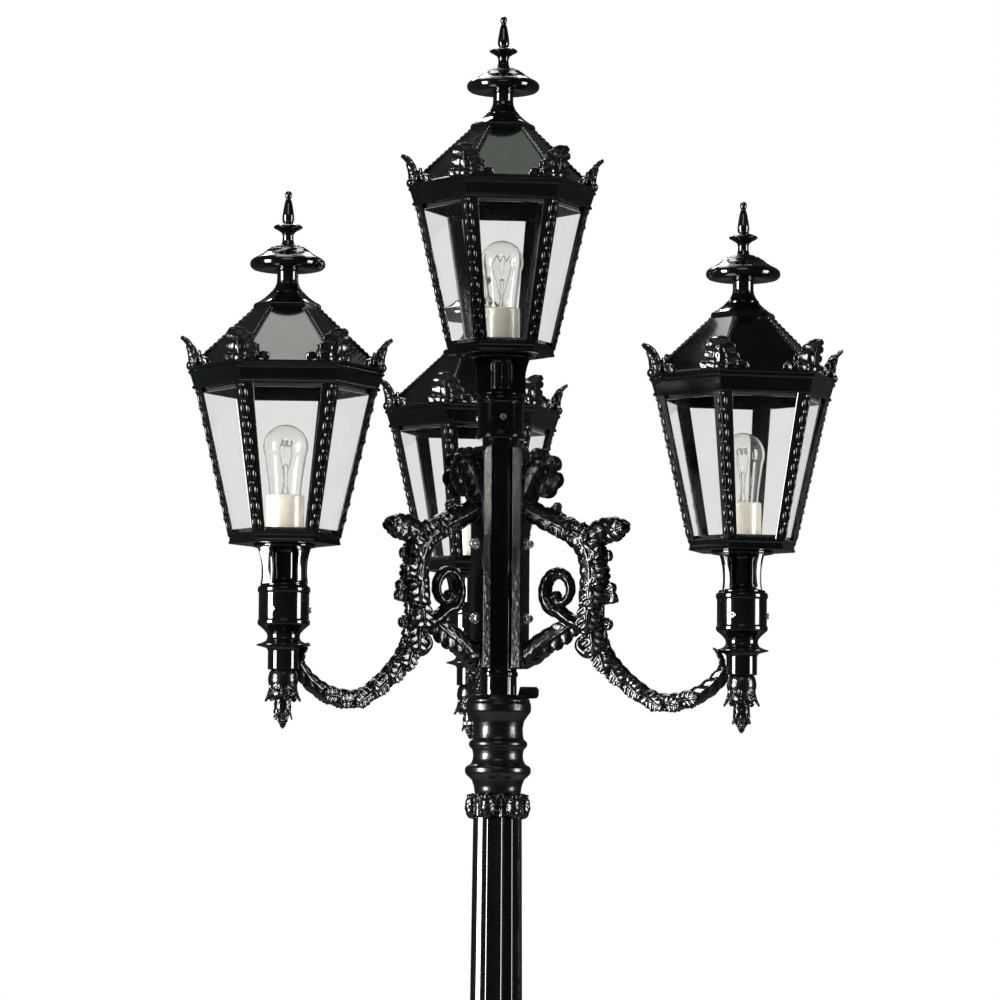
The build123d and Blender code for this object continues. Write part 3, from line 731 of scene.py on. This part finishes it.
def limb(points, steps, flat, relief=None):
    """A modelled limb through (x, z, half width) points."""
    path, radii = flat_path(points, 8)
    return swept(path, radii, steps, flat=flat, relief=relief)


def volute():
    """The curl inside the scroll: it rises on the column's side and winds in from the far side."""
    cx, cz = VOLUTE_CENTRE
    points = [(214, 172, 18), (190, 178, 17), (162, 190, 16)]
    for angle, wide, high, half in (
            (-84, 30, 44, 15), (-125, 30, 42, 15.5), (-165, 30, 39, 15), (-205, 29, 37, 14),
            (-245, 29, 37, 13), (-285, 29, 37, 12), (-325, 29, 35, 11), (-365, 28, 30, 10),
            (-405, 24, 30, 9.5), (-440, 14, 24, 9), (-475, 9, 12, 9.5)):
        a = math.radians(angle)
        points.append((cx + wide * math.cos(a), cz + high * math.sin(a), half))
    path, radii = flat_path(points, 6)
    curl = swept(path, radii, 20, flat=1.1, relief=chevrons(17, 1.6))
    return curl + ball(12, tuple(path[-1]), (1, 1.1, 1), 16)


def scroll_arm():
    path, radii = flat_path(SCROLL, 10)
    bar = [(BAR_IN, BAR_FOOT), (BAR_OUT, BAR_FOOT), (BAR_OUT, BAR_HEAD - 12), (BAR_OUT - 8, BAR_HEAD),
           (BAR_IN, BAR_HEAD)]
    tip = leaf(50, 30, 3, bow=55, thick=6, relief=3)
    return together((
        swept(path, radii * 0.96, 40, flat=SCROLL_DEPTH, relief=chevrons(27, 3.6)),
        laid_leaves(path, radii, 8, len(path) - 22, 8, 74, 46),
        volute(),
        slab(bar, 2 * BAR_HALF),
        # the strut: one broad leaf from the scroll down to the foot of the bar
        limb([(196, 184, 14), (172, 186, 15), (140, 168, 20), (108, 146, 25), (78, 124, 27), (54, 110, 22)],
             28, 0.6, chevrons(24, 2.8)),
        fan((186, 192), (-146,), 128, 50, 6, 5, 6, 11),
        # the top leaf: a broad lobed mass that stands off the head of the bar
        limb([(58, 440, 24), (70, 468, 26), (84, 496, 30), (100, 512, 31), (112, 516, 20)],
             28, 0.62, chevrons(22, 3)),
        fan((86, 496), (84, 34, -18, -56), 55, 46, 30, 2, 8, 8),
        fan((70, 458), (68,), 74, 44, 16, 5, 7, 12),
        fan((122, 408), (66,), 30, 24, 20, 2, 8, 3),
        # the corner leaf: a thick bud that points outward from the bend of the scroll
        limb([(198, 352, 22), (222, 368, 27), (246, 378, 27), (268, 383, 21), (284, 386, 12), (295, 388, 3)],
             28, 0.72, chevrons(20, 3)),
        fan((206, 362), (14,), 84, 44, 12, 5, 7, 15),
        fan((232, 372), (34, -14), 44, 30, 20, 2, 8, 6),
        # the tips along the outside of the scroll and the knob inside the long sweep
        fan((222, 322), (4,), 32, 30, 24, 2, 9, 4),
        limb([(216, 246, 20), (240, 238, 15), (258, 232, 9), (270, 229, 3)], 20, 0.8, chevrons(16, 2)),
        fan((222, 242), (-10, 26), 44, 32, 20, 2, 8, 5),
        fan((226, 186), (-16,), 30, 28, 24, 2, 8, 4),
        limb([(212, 124, 13), (200, 122, 12), (190, 127, 11), (182, 137, 10), (186, 148, 9), (196, 148, 8),
              (197, 139, 7)], 18, 1.15),
        # the leaf that curls up beside the socket
        tip.moved(facing((498, 0, 84), (-0.1, 0, 1), (-1, 0, 0))),
    ))


def cut_arm(mesh, reach):
    """Trims the arm to the tube at one end and to the socket's neck at the other."""
    for vertex in mesh.vertices:
        x, y = vertex.co.x / MM, vertex.co.y / MM
        if math.hypot(x, y) < TUBE_R:
            vertex.co.x = math.sqrt(max(TUBE_R ** 2 - y ** 2, 0)) * MM
        if math.hypot(x - reach, y) < SOCKET_NECK_R:
            vertex.co.x = (reach - math.sqrt(max(SOCKET_NECK_R ** 2 - y ** 2, 0))) * MM
    return mesh


def arm_socket():
    """z = 0 at its foot."""
    tall = high("arm_socket_left") - low("arm_socket_left")
    outline = [
        (0, 0), (31.5, 0), (31.5, 38), (34, 43), (44, 46), (55, 48.5), (55, 50.5), (44, 54), (36, 58),
        (33, 64), (33.5, 72), (40, 80), (48, 87), (53, 91), (53.5, 98), (51.2, 101), (51.2, tall - 14),
        (53.5, tall - 11), (53.5, tall - 4), (50, tall), (0, tall),
    ]
    return lathed(outline, 2)


def drop_finial():
    """A hanging acanthus bud; z = 0 at its top."""
    core = turned(softened([(0, 0), (25, 0), (29, -8), (31, -22), (26, -44), (17, -58), (16, -66),
                            (18, -76), (13, -92), (7, -102), (8, -108), (5, -116), (0, -120)], 4), 48)
    outer = leaf(64, 34, 4, bow=34, fold=0.12, thick=5, relief=3)
    inner = leaf(48, 24, 3, bow=22, fold=0.1, thick=4, relief=2.4)
    shape = core + around(outer.moved(facing((24, 0, -2), (0.02, 0, -1), (1, 0, 0))), 6, 15)
    shape = shape + around(inner.moved(facing((14, 0, -54), (0.0, 0, -1), (1, 0, 0))), 5)
    berry = [ball(4, (8 * math.cos(a), 8 * math.sin(a), -103), steps=10)
             for a in np.linspace(0, 2 * math.pi, 6, endpoint=False)]
    return shape + together(berry)


def acorn_nut():
    """A washer, a hexagon nut and its domed end along +X, seated at x = 0."""
    washer = turned(softened([(0, 0), (12, 0), (12, 2), (0, 2)], 0.5), 32)
    nut = turned(softened([(0, 2), (10, 2), (10, 9), (8.6, 10.5), (0, 10.5)], 0.8), 6)
    dome = turned([(8.2, 9)] + [(8.2 * math.cos(a), 10.5 + 6.5 * math.sin(a))
                               for a in np.linspace(0.1, 1.45, 6)] + [(0, 17)], 32)
    return (washer + nut + dome).moved(spin(90, "Y"))


def socket_screw():
    """A cap screw head along +X with a hexagonal recess."""
    head = turned(softened([(0, 0), (6.4, 0), (6.4, 4), (5.6, 4.6), (3.2, 4.6)], 0.6), 32)
    recess = turned([(3.2, 4.6), (3.0, 1.6), (0, 1.6)], 6)
    return (head + recess).moved(spin(90, "Y"))


def ring_of_screws(centre, turn, radius, top):
    """Three set screws round a socket whose top face is at the height top."""
    place = shift(centre.x / MM, centre.y / MM, 0)
    return [socket_screw().moved(place @ spin(turn + angle) @ shift(radius, 0, top - SCREW_DROP))
            for angle in SCREW_ANGLES]


def build_arms():
    centres = {name: sum(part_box(f"arm_socket_{name}"), Vector()) / 2 for name in ARMS}
    reach = math.hypot(centres["right"].x, centres["right"].y) / MM
    arm = cut_arm(cast(scroll_arm(), "arm", 1.6, 0.25), reach)
    socket = plain(arm_socket(), "socket", sharp=50)
    drop = cast(drop_finial(), "drop", 1.1, 0.3)
    drops, nuts, screws = [], [], []
    for name in ARMS:
        centre = centres[name]
        angle = math.degrees(math.atan2(centre.y, centre.x))
        at_axis = spin(angle) @ shift(0, 0, low("scroll_arm_back") * MM)
        at_end = spin(angle) @ shift(reach * MM, 0, low("arm_socket_left") * MM)
        put(arm, f"scroll_arm_{name}_cast", "post", CAST_PAINT, f"scroll_arm_{name}", at_axis)
        put(socket, f"arm_socket_{name}_cast", "post", SMOOTH_PAINT, f"arm_socket_{name}", at_end)
        drops.append(put(drop, f"drop_finial_{name}", "post", CAST_PAINT, None, at_end))
        nuts += [acorn_nut().moved(spin(angle) @ shift(BAR_OUT, 0, z)) for z in BOLT_HEIGHTS]
        screws += ring_of_screws(centre, angle, ARM_COLLAR_R, high("arm_socket_left"))
    screws += ring_of_screws(Vector(), 0, TOP_COLLAR_R, high("top_socket"))
    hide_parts("drop_finials")
    put(plain(together(nuts), "nuts"), "arm_nuts", "post", STEEL, "arm_bolts")
    put(plain(together(screws), "screws"), "socket_screws", "post", STEEL, "set_screws")


# ---- lanterns -------------------------------------------------------------------------------
TRAY_H = 22.0
TRAY_R = 116.0
GLAZING_TOP = 315.0
GLAZING_TOP_R = 185.0
EAVE_Z = 352.0
EAVE_R = 198.0
ROOF_FOOT = 352.4
ROOF_TOP_Z = 485.0
ROOF_TOP_R = 66.0
FLANGE_LOW = 17.0           # width of a corner bar's flange at its foot and at its head
FLANGE_HIGH = 23.0
BAR_RISE = 1.2              # the flange's face stands this far proud of the panes' edges
BAR_DEPTH = 3.0
BEAD_PITCH = 33.0
HIP_WIDTH = 9.0
HIP_T = 4.0
HIP_FOLD = 0.36             # how far its flanks fall away, for each millimetre across
HIP_PITCH = 11.4
HIP_BEAD = 3.4
HINGE_OUT = 9.0             # roof hinge axis, outside the eave's flat side
KNUCKLE_HALF = 20.0
PANE_INSET = 7.0
PANE_T = 3.0
LAMP_TURN = 80              # degrees that the filament is turned


def hexed(outline, loop=True):
    """Turns an outline into a six-sided shape with a flat side towards +X."""
    return turned(outline, 6, 30, loop=loop)


def lantern_foot():
    shape = turned(softened([(0, -148), (30, -148), (30, -84), (48, -84), (48, -80), (30, -76), (25.5, -70),
                             (25.5, -16), (30, -10), (60, -6), (64, -5), (64, 0), (0, 0)], 2), 72)
    top, bottom, count = -6.0, -80.0, 16
    edge = []
    for k in range(count + 1):
        t = k / count
        edge.append((50 + 11 * t ** 3 + 4 * (1 - t) ** 4, bottom + (top - bottom) * t))
    outline = [(20, bottom)] + edge + [(20, top)]
    rib = slab(outline, 7)
    return shape + around(rib, 4)


def base_tray():
    outline = [(100, 8), (100, 22), (114, 22), (116, 20), (115.5, 16), (112, 13), (112, 6), (114, 3),
               (113, 0), (60, 0), (60, 8)]
    tray = hexed(softened(outline, 1.6, loop=True))
    floor = turned([(8, 0.5), (70, 0.5), (70, 8), (8, 8)], 48, loop=True)
    return tray + floor


def roof_hip():
    """A folded strip up one corner of the roof, with a row of long beads on its ridge and a fine
    notched edge on each side."""
    start, end = Vector((193, 0, 361)), Vector((ROOF_TOP_R - 1, 0, ROOF_TOP_Z - 4))
    along = (end - start).normalized()
    out = Vector((0, 1, 0)).cross(along) * -1
    if out.x < 0:
        out = -out
    half, rise = HIP_WIDTH / 2, HIP_T / 2
    section = [(-half, -rise), (-half, HIP_T * 0.2), (-half + 1.5, rise), (0, rise + 0.4),
               (half - 1.5, rise), (half, HIP_T * 0.2), (half, -rise), (0, -rise)]
    ends = [[base + out * (up - HIP_FOLD * abs(across)) + Vector((0, across, 0)) for across, up in section]
            for base in (start, end)]
    shapes = [prism(*ends)]
    place = facing((0, 0, 0), along, out)
    length = (end - start).length
    for k in range(int((length - HIP_PITCH) / HIP_PITCH) + 1):
        centre = start + along * (HIP_PITCH * (k + 0.75)) + out * rise
        bead = ball(1, stretch=(HIP_BEAD * 0.55, HIP_BEAD * 0.62, HIP_PITCH * 0.40), steps=12)
        shapes.append(bead.moved(Matrix.Translation(centre) @ place))
    small = HIP_PITCH / 2
    for k in range(int(length / small)):
        for side in (-1, 1):
            centre = start + along * (small * (k + 0.5)) + out * (HIP_T * 0.1 - HIP_FOLD * half)
            bead = ball(1, stretch=(2.0, 2.0, small * 0.40), steps=8)
            shapes.append(bead.moved(Matrix.Translation(centre + Vector((0, side * half, 0))) @ place))
    return together(shapes)


def corner_bars():
    """Bars folded along each corner, a flange on each pane, with two rows of long beads."""
    start, end = Vector((TRAY_R - 1, 0, TRAY_H - 1)), Vector((GLAZING_TOP_R - 1, 0, GLAZING_TOP + 2))
    along = (end - start).normalized()
    length = (end - start).length
    place = facing((0, 0, 0), along, (1, 0, 0))
    shapes = []
    for side in (-1, 1):
        flange = Vector((-0.5, side * 0.866, 0))
        face = Vector((0.866, side * 0.5, 0))
        ends = [[base + face * BAR_RISE, base + flange * (wide - 1) + face * BAR_RISE, base + flange * wide,
                 base + flange * wide - face * BAR_DEPTH, base - Vector((BAR_DEPTH + 0.4, 0, 0))]
                for base, wide in ((start, FLANGE_LOW), (end, FLANGE_HIGH))]
        shapes.append(prism(*ends))
        for k in range(int(length / BEAD_PITCH)):
            for part, away, size in ((0.45, 6.8, (3.6, 4.0, 0.33)), (0.95, 2.4, (3.6, 2.6, 0.16))):
                bead = ball(1, stretch=(size[0], size[1], BEAD_PITCH * size[2]), steps=14)
                spot = start + along * BEAD_PITCH * (k + part) + flange * away + face * 1.0
                shapes.append(bead.moved(Matrix.Translation(spot) @ place))
    return around(together(shapes), 6, 30)


def frieze():
    outline = [
        (185, 315), (189, 314), (191.5, 317), (190.5, 320), (188, 322), (190, 327), (194, 340), (195.5, 344),
        (199, 346), (200, 349), (198, 352), (184, 352), (171, 315),
    ]
    return hexed(softened(outline, 1.2, loop=True))


def hinge_barrels(spans, tab):
    """Hinge barrels along Y beside the eave, each with its tab towards the lantern."""
    x = EAVE_R * COS30 + HINGE_OUT
    shapes = []
    for y0, y1 in spans:
        tube = turned(softened([(0, y0), (7, y0), (7, y1), (0, y1)], 0.8), 28)
        shapes.append(tube.moved(spin(-90, "X")).moved(shift(x, 0, EAVE_Z)))
        web = slab([(x - 14, tab[0]), (x, tab[0]), (x, tab[1]), (x - 14, tab[1])], abs(y1 - y0) - 1)
        shapes.append(web.moved(shift(0, (y0 + y1) / 2, 0)))
    return together(shapes)


def panes():
    """Six panes, each a trapezoid behind the corner bars."""
    outer = []
    for radius, z, turns in ((TRAY_R, TRAY_H, (-1, 1)), (GLAZING_TOP_R, GLAZING_TOP, (1, -1))):
        r = radius - PANE_INSET - 1
        for turn in turns:
            a = math.radians(29.4 * turn)
            outer.append((r * math.cos(a), r * math.sin(a), z))
    return around(prism(outer, [(x - PANE_T, y, z) for x, y, z in outer]), 6)


def glazing_beads():
    """Thin retaining strips round each pane, inside the lantern."""
    shapes = []
    for z, r in ((TRAY_H + 4, TRAY_R - 12), (GLAZING_TOP - 4, GLAZING_TOP_R - 12)):
        ring = [(r - 5, z - 4), (r, z - 4), (r + 2, z + 4), (r - 5, z + 4)]
        shapes.append(hexed(softened(ring, 1, loop=True)))
    return together(shapes)


def lamp_sleeve():
    outline = [(0, 8), (37, 8), (39, 11), (39, 96), (38.2, 100), (35.4, 100), (35, 96), (35, 62), (0, 62)]
    return lathed(outline, 0.8, 72)


def bulb_outline(inset):
    r, z = 45.5 - inset, 199.0
    arc = [(r * math.cos(a), z + r * math.sin(a)) for a in np.radians(np.arange(-24, 90, 6))]
    neck = [(31.5 - inset, 74), (32 - inset, 104), (34.5 - inset, 130), (38.5 - inset, 158)]
    return neck + arc


def bulb_envelope():
    """The glass is a thin wall, so it has an inner skin as well."""
    loop = bulb_outline(0.0) + [(0, 244.5), (0, 243.2)] + bulb_outline(1.3)[::-1]
    return turned(loop, 72, loop=True)


def lamp_stem():
    """The lamp's cap and the glass stem inside it."""
    cap = turned(softened([(0, 62), (18, 62), (19.5, 66), (19.5, 82), (17, 88), (12, 92), (0, 92)], 1), 40)
    stem = turned(softened([(12, 90), (9, 100), (5, 116), (4, 150), (6.5, 158), (4, 163), (0, 164)], 2), 24)
    return cap, stem


def filament():
    """Two lead wires, two support wires and the wound filament that they hold."""
    shapes = []
    for side in (-1, 1):
        wire = curve([(side * 3, 0, 118), (side * 9, 0, 150), (side * 19, 0, 186), (side * 17, 0, 204)], 8)
        shapes.append(swept(wire, np.full(len(wire), 0.75), 8))
    for side in (-1, 1):
        wire = curve([(0, side * 2, 158), (side * 3, side * 6, 180), (side * 7, side * 7, 214)], 6)
        shapes.append(swept(wire, np.full(len(wire), 0.5), 6))
    turns, count = 5, 260
    t = np.linspace(0, 1, count)
    zig = 206 + 13 * np.abs((t * turns) % 2 - 1) - 6
    line = np.column_stack((-17 + 34 * t, 5 * np.sin(t * turns * math.pi), zig))
    coil = np.column_stack((np.zeros(count), 1.1 * np.cos(t * 300), 1.1 * np.sin(t * 300)))
    shapes.append(swept(line + coil, np.full(count, 0.55), 6))
    return together(shapes)


def roof_shell():
    outline = [
        (198, ROOF_FOOT), (200, 355), (200, 359), (196, 362), (190, 362), (ROOF_TOP_R, ROOF_TOP_Z - 4),
        (ROOF_TOP_R - 5, ROOF_TOP_Z - 4), (184, 360), (188, ROOF_FOOT),
    ]
    return hexed(outline)


def roof_cap():
    """The six-sided skirt on top of the roof plates and the round neck that it runs into."""
    skirt = [(0, 475), (66, 475), (69, 478), (69, 487), (66, 491), (56, 496), (46, 503), (37, 511),
             (33, 516), (0, 516)]
    neck = [(0, 510), (33, 510), (33, 515), (29, 519), (25.5, 525), (22.5, 532), (21.5, 540),
            (21.5, 556), (24, 560), (24, 566), (0, 566)]
    return hexed(softened(skirt, 1.4), loop=False) + lathed(neck, 1.5, 72)


def vent_cap():
    outline = [
        (0, 562), (24, 562), (40, 559), (60, 558.5), (70, 561), (75.5, 566), (77, 572), (75.5, 578),
        (70, 583), (60, 588), (50, 594), (43, 600), (41, 602), (37, 602.5), (35, 606), (27, 607),
        (24, 610.5), (12, 611), (0, 611),
    ]
    return lathed(outline, 1.6)


def finial():
    outline = [
        (0, 610), (14, 610), (13, 614), (11.5, 620), (11, 630), (13, 636), (20, 641), (28, 645), (30, 648),
        (27, 651), (20, 654), (13, 656), (11, 659), (12.4, 664), (12, 672), (10, 684), (8, 696),
        (6, 703), (4.6, 705.5), (6.2, 709), (7.4, 714), (6.4, 719), (3.4, 722), (0, 723),
    ]
    return lathed(outline, 0.8, 48)


def palmette():
    """A crown leaf on a corner that points along +X: a broad leaf with a round top that curls
    outward, on a stout rib, with low leaves and small scrolls that run out along the eave."""
    rib, rib_r = flat_path([(184, 356, 9), (185, 372, 9), (188, 387, 8), (193, 399, 6.5), (200, 409, 4.5),
                            (209, 416, 2.0)], 6)
    shape = swept(rib, rib_r, 20, flat=1.5, relief=chevrons(15, 1.5))
    front = leaf(75, 70, 4, bow=62, fold=0.13, thick=6, relief=4.2, notch=0.2, blunt=0.5, sweep=0.12,
                 rows=44, columns=29)
    shape = shape + front.moved(facing((190.5, 0, 352), (0.0, 0, 1), (1, 0, 0)))
    heart = leaf(50, 26, 3, bow=30, fold=0.2, thick=5, relief=2.4, notch=0.2)
    shape = shape + heart.moved(facing((198, 0, 353), (-0.03, 0, 1), (1, 0, 0)))
    for side in (-1, 1):
        a = math.radians(side * 30)
        face = Vector((math.cos(a), math.sin(a), 0))
        along = Vector((-math.sin(a), math.cos(a), 0)) * side
        corner = Vector((194, 0, 354))
        for tilt, length, width in ((46, 50, 30), (18, 58, 28)):
            t = math.radians(tilt)
            up = along * math.cos(t) + Vector((-0.12 * math.cos(t), 0, math.sin(t)))
            blade = leaf(length, width, 3, bow=34, fold=0.14, thick=7, relief=3.2, notch=0.2)
            foot = corner + along * 3 - face * 2
            shape = shape + blade.moved(facing(foot, up, face + Vector((0, 0, 0.25))))
        for distance, height, ring, wire in ((33, 370, 7.0, 3.8), (50, 363, 6.0, 3.6)):
            spot = corner + along * distance - face * 0.45 * (height - 354)
            section = [(ring + wire * math.cos(q), wire * math.sin(q))
                       for q in np.radians(range(0, 360, 45))]
            curl = turned(section, 20, loop=True)
            centre = (spot.x, spot.y, height)
            shape = shape + curl.moved(facing(centre, face + Vector((0, 0, 0.35)), (0, 0, 1)))
        tip = corner + along * 58 - face * 3
        shape = shape + ball(4.5, (tip.x, tip.y, 366), (1, 1, 2.0), 12)
    return shape + ball(11, (195, 0, 362), (0.8, 1.3, 0.9), 16)


def lantern_place(name):
    """The lantern's place in the row frame, with its own +X towards its roof hinge."""
    a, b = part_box(f"base_tray_{name}")
    axis = JOINTS[f"roof_hinge_{name}"]["axis"]
    opens = math.atan2(-axis[0], axis[1])
    return Matrix.Translation(((a.x + b.x) / 2, (a.y + b.y) / 2, a.z)) @ Matrix.Rotation(opens, 4, "Z")


def crown():
    """A palmette on each corner of the eave."""
    one = cast(palmette(), "palmette", 1.5, 0.2)
    tool = bmesh.new()
    for k in CORNERS:
        copy = one.copy()
        copy.transform(spin(30 + 60 * k))
        tool.from_mesh(copy)
        bpy.data.meshes.remove(copy)
    mesh = bpy.data.meshes.new("crown")
    tool.to_mesh(mesh)
    tool.free()
    return smooth_shaded(mesh, 180)


def build_lanterns():
    cap, stem = lamp_stem()
    fixed_barrels = hinge_barrels(((-42, -KNUCKLE_HALF - 1), (KNUCKLE_HALF + 1, 42)), (347, 352))
    moving_barrel = hinge_barrels(((-KNUCKLE_HALF, KNUCKLE_HALF),), (354.5, 360))
    # name, mesh, material, slot, replaced node, moves with the roof
    kit = (
        ("foot", plain(lantern_foot(), "foot", 1.0, 40), SMOOTH_PAINT, ALUMINIUM, "lantern_foot", False),
        ("tray", plain(base_tray(), "tray", 0, 30), SMOOTH_PAINT, SHEET, "base_tray", False),
        ("corner_bars", plain(corner_bars(), "bars", 0, 40), CAST_PAINT, SHEET, "cage", False),
        ("frieze", plain(frieze() + fixed_barrels, "frieze", 0, 30), SHEET_PAINT, SHEET, None, False),
        ("glazing_beads", plain(glazing_beads(), "beads", 0, 30), SHEET_PAINT, SHEET, None, False),
        ("panes", plain(panes(), "panes", 0, 30), PANE_GLASS, "clear_glass", "glass_panes", False),
        ("lamp_sleeve", plain(lamp_sleeve(), "sleeve", 0, 40), CERAMIC, "lamp_holder_ceramic",
         "lamp_holder", False),
        ("bulb_envelope", plain(bulb_envelope(), "envelope", 0, 60), BULB_GLASS, "bulb_glass",
         "bulb", False),
        ("bulb_cap", plain(cap, "cap", 0, 40), BRASS, "brass_lock", None, False),
        ("bulb_stem", plain(stem, "stem", 0, 50), BULB_GLASS, "bulb_glass", None, False),
        ("filament", plain(filament().moved(spin(LAMP_TURN)), "filament", 0, 60), TUNGSTEN,
         "stainless_steel", None, False),
        ("roof_plates", plain(roof_shell() + moving_barrel, "roof", 0, 25), SHEET_PAINT, SHEET,
         "roof", True),
        ("roof_hips", plain(around(roof_hip(), 6, 30), "hips", 0, 40), CAST_PAINT, SHEET, None, True),
        ("roof_cap", plain(roof_cap(), "roof_cap", 0, 35), SMOOTH_PAINT, SHEET, None, True),
        ("crown", crown(), CAST_PAINT, ALUMINIUM, "crown_leaves", True),
        ("vent", plain(vent_cap(), "vent", 0, 50), SMOOTH_PAINT, SHEET, "vent_cap", True),
        ("spindle", plain(finial(), "spindle", 0, 50), SMOOTH_PAINT, ALUMINIUM, "finial", True),
    )
    for name in LANTERNS:
        place = lantern_place(name)
        for piece, mesh, material, slot, node, on_roof in kit:
            body = f"roof_{name}" if on_roof else "post"
            put(mesh, f"{piece}_{name}", body, material, node and f"{node}_{name}", place)


# ---- stage ----------------------------------------------------------------------------------
CAMERA_DISTANCE = 9.495
CAMERA_HEIGHT = 2.466
CAMERA_ANGLE = -96.5
CAMERA_PITCH = 4.273
CAMERA_ROLL = 0.45
CAMERA_LENS = 163.3
CAMERA_SENSOR = 36.0
FLOOR_R = 28000.0
FLOOR_FADE = (2.0, 7.0)     # the floor fades out between these distances from the column, in metres
WORLD_DIM = 0.05            # what the metal reflects; camera and glass see plain white
MIDDLE = (0, 0, 3.2)
# name, place, aim, width, height, power, spread, tint
LIGHTS = (
    ("left_side", (-5.7, -2.3, 3.4), MIDDLE, 2.1, 4.2, 300, 70, (1, 1, 1)),
    ("right_side", (5.6, -2.6, 3.4), MIDDLE, 2.0, 4.2, 110, 70, (1, 1, 1)),
    ("front_high", (-1.0, -7.0, 7.8), MIDDLE, 4.0, 1.4, 26, 120, (1, 1, 1)),
    ("overhead", (-0.75, 0.15, 6.9), (-0.6, 0.05, 3.5), 1.1, 1.4, 6.6, 90, (1.0, 0.965, 0.93)),
    ("overhead_dim", (0.34, -0.1, 6.9), (0.1, -0.1, 3.5), 0.5, 0.5, 0.31, 90, (0.85, 1.0, 0.83)),
    ("above_behind", (0, 1.7, 6.9), (0, 0.1, 3.8), 2.6, 1.1, 16, 90, (1, 1, 1)),
    ("back_high", (0, 6.5, 8.2), (0, 0, 3.6), 3.5, 1.6, 25, 60, (1, 1, 1)),
)


def build_camera():
    data = bpy.data.cameras.new("camera")
    data.sensor_width = CAMERA_SENSOR
    data.lens = CAMERA_LENS
    data.clip_end = 200.0
    camera = linked("camera", data)
    a = math.radians(CAMERA_ANGLE)
    camera.location = (CAMERA_DISTANCE * math.cos(a), CAMERA_DISTANCE * math.sin(a), CAMERA_HEIGHT)
    look = spin(CAMERA_ANGLE + 90) @ spin(90 + CAMERA_PITCH, "X") @ spin(CAMERA_ROLL)
    camera.rotation_euler = look.to_euler()
    bpy.context.scene.camera = camera


def area_light(name, place, aim, width, height, power, spread, tint):
    data = bpy.data.lights.new(name, "AREA")
    data.shape = "RECTANGLE"
    data.size, data.size_y = width, height
    data.energy = power
    data.color = tint
    data.spread = math.radians(spread)
    light = linked(name, data)
    light.location = place
    light.rotation_euler = (Vector(aim) - Vector(place)).to_track_quat("-Z", "Y").to_euler()


def build_floor():
    mesh = raw_mesh(turned([(0, 0), (FLOOR_R, 0)], 96), "floor")
    floor = linked("floor", mesh)
    m = Nodes("floor")
    m.set(Base_Color=(0.62, 0.62, 0.62, 1), Roughness=0.9)
    away = m.new("ShaderNodeVectorMath", operation="LENGTH")
    m.link(m.place, away.inputs[0])
    limits = {"From Min": FLOOR_FADE[0], "From Max": FLOOR_FADE[1]}
    fade = m.new("ShaderNodeMapRange", limits, interpolation_type="SMOOTHSTEP")
    m.link(away.outputs["Value"], fade.inputs["Value"])
    clear = m.new("ShaderNodeBsdfTransparent")
    shader = m.blend(fade.outputs["Result"], m.shader.outputs["BSDF"], clear.outputs["BSDF"])
    m.link(shader, m.output.inputs["Surface"])
    mesh.materials.append(m.material)


def build_world():
    """Camera and glass see plain white; everything else gets a dim, cool light."""
    world = bpy.data.worlds.new("studio")
    bpy.context.scene.world = world
    world.use_nodes = True
    nodes, links = world.node_tree.nodes, world.node_tree.links
    bright = nodes["Background"]
    dim = nodes.new("ShaderNodeBackground")
    for background, colour, strength in (
            (bright, (1, 1, 1, 1), 1.0), (dim, (0.86, 0.93, 1.0, 1), WORLD_DIM)):
        background.inputs["Color"].default_value = colour
        background.inputs["Strength"].default_value = strength
    rays = nodes.new("ShaderNodeLightPath")
    either = nodes.new("ShaderNodeMath")
    either.operation = "MAXIMUM"
    mix = nodes.new("ShaderNodeMixShader")
    links.new(rays.outputs["Is Camera Ray"], either.inputs[0])
    links.new(rays.outputs["Is Transmission Ray"], either.inputs[1])
    links.new(either.outputs[0], mix.inputs["Fac"])
    links.new(dim.outputs[0], mix.inputs[1])
    links.new(bright.outputs[0], mix.inputs[2])
    links.new(mix.outputs[0], nodes["World Output"].inputs["Surface"])


def build_stage():
    build_floor()
    build_world()
    for light in LIGHTS:
        area_light(*light)
    bpy.context.scene.view_settings.view_transform = "Standard"


build_camera()
build_stage()
build_column()
build_arms()
build_lanterns()

bpy.context.view_layer.update()
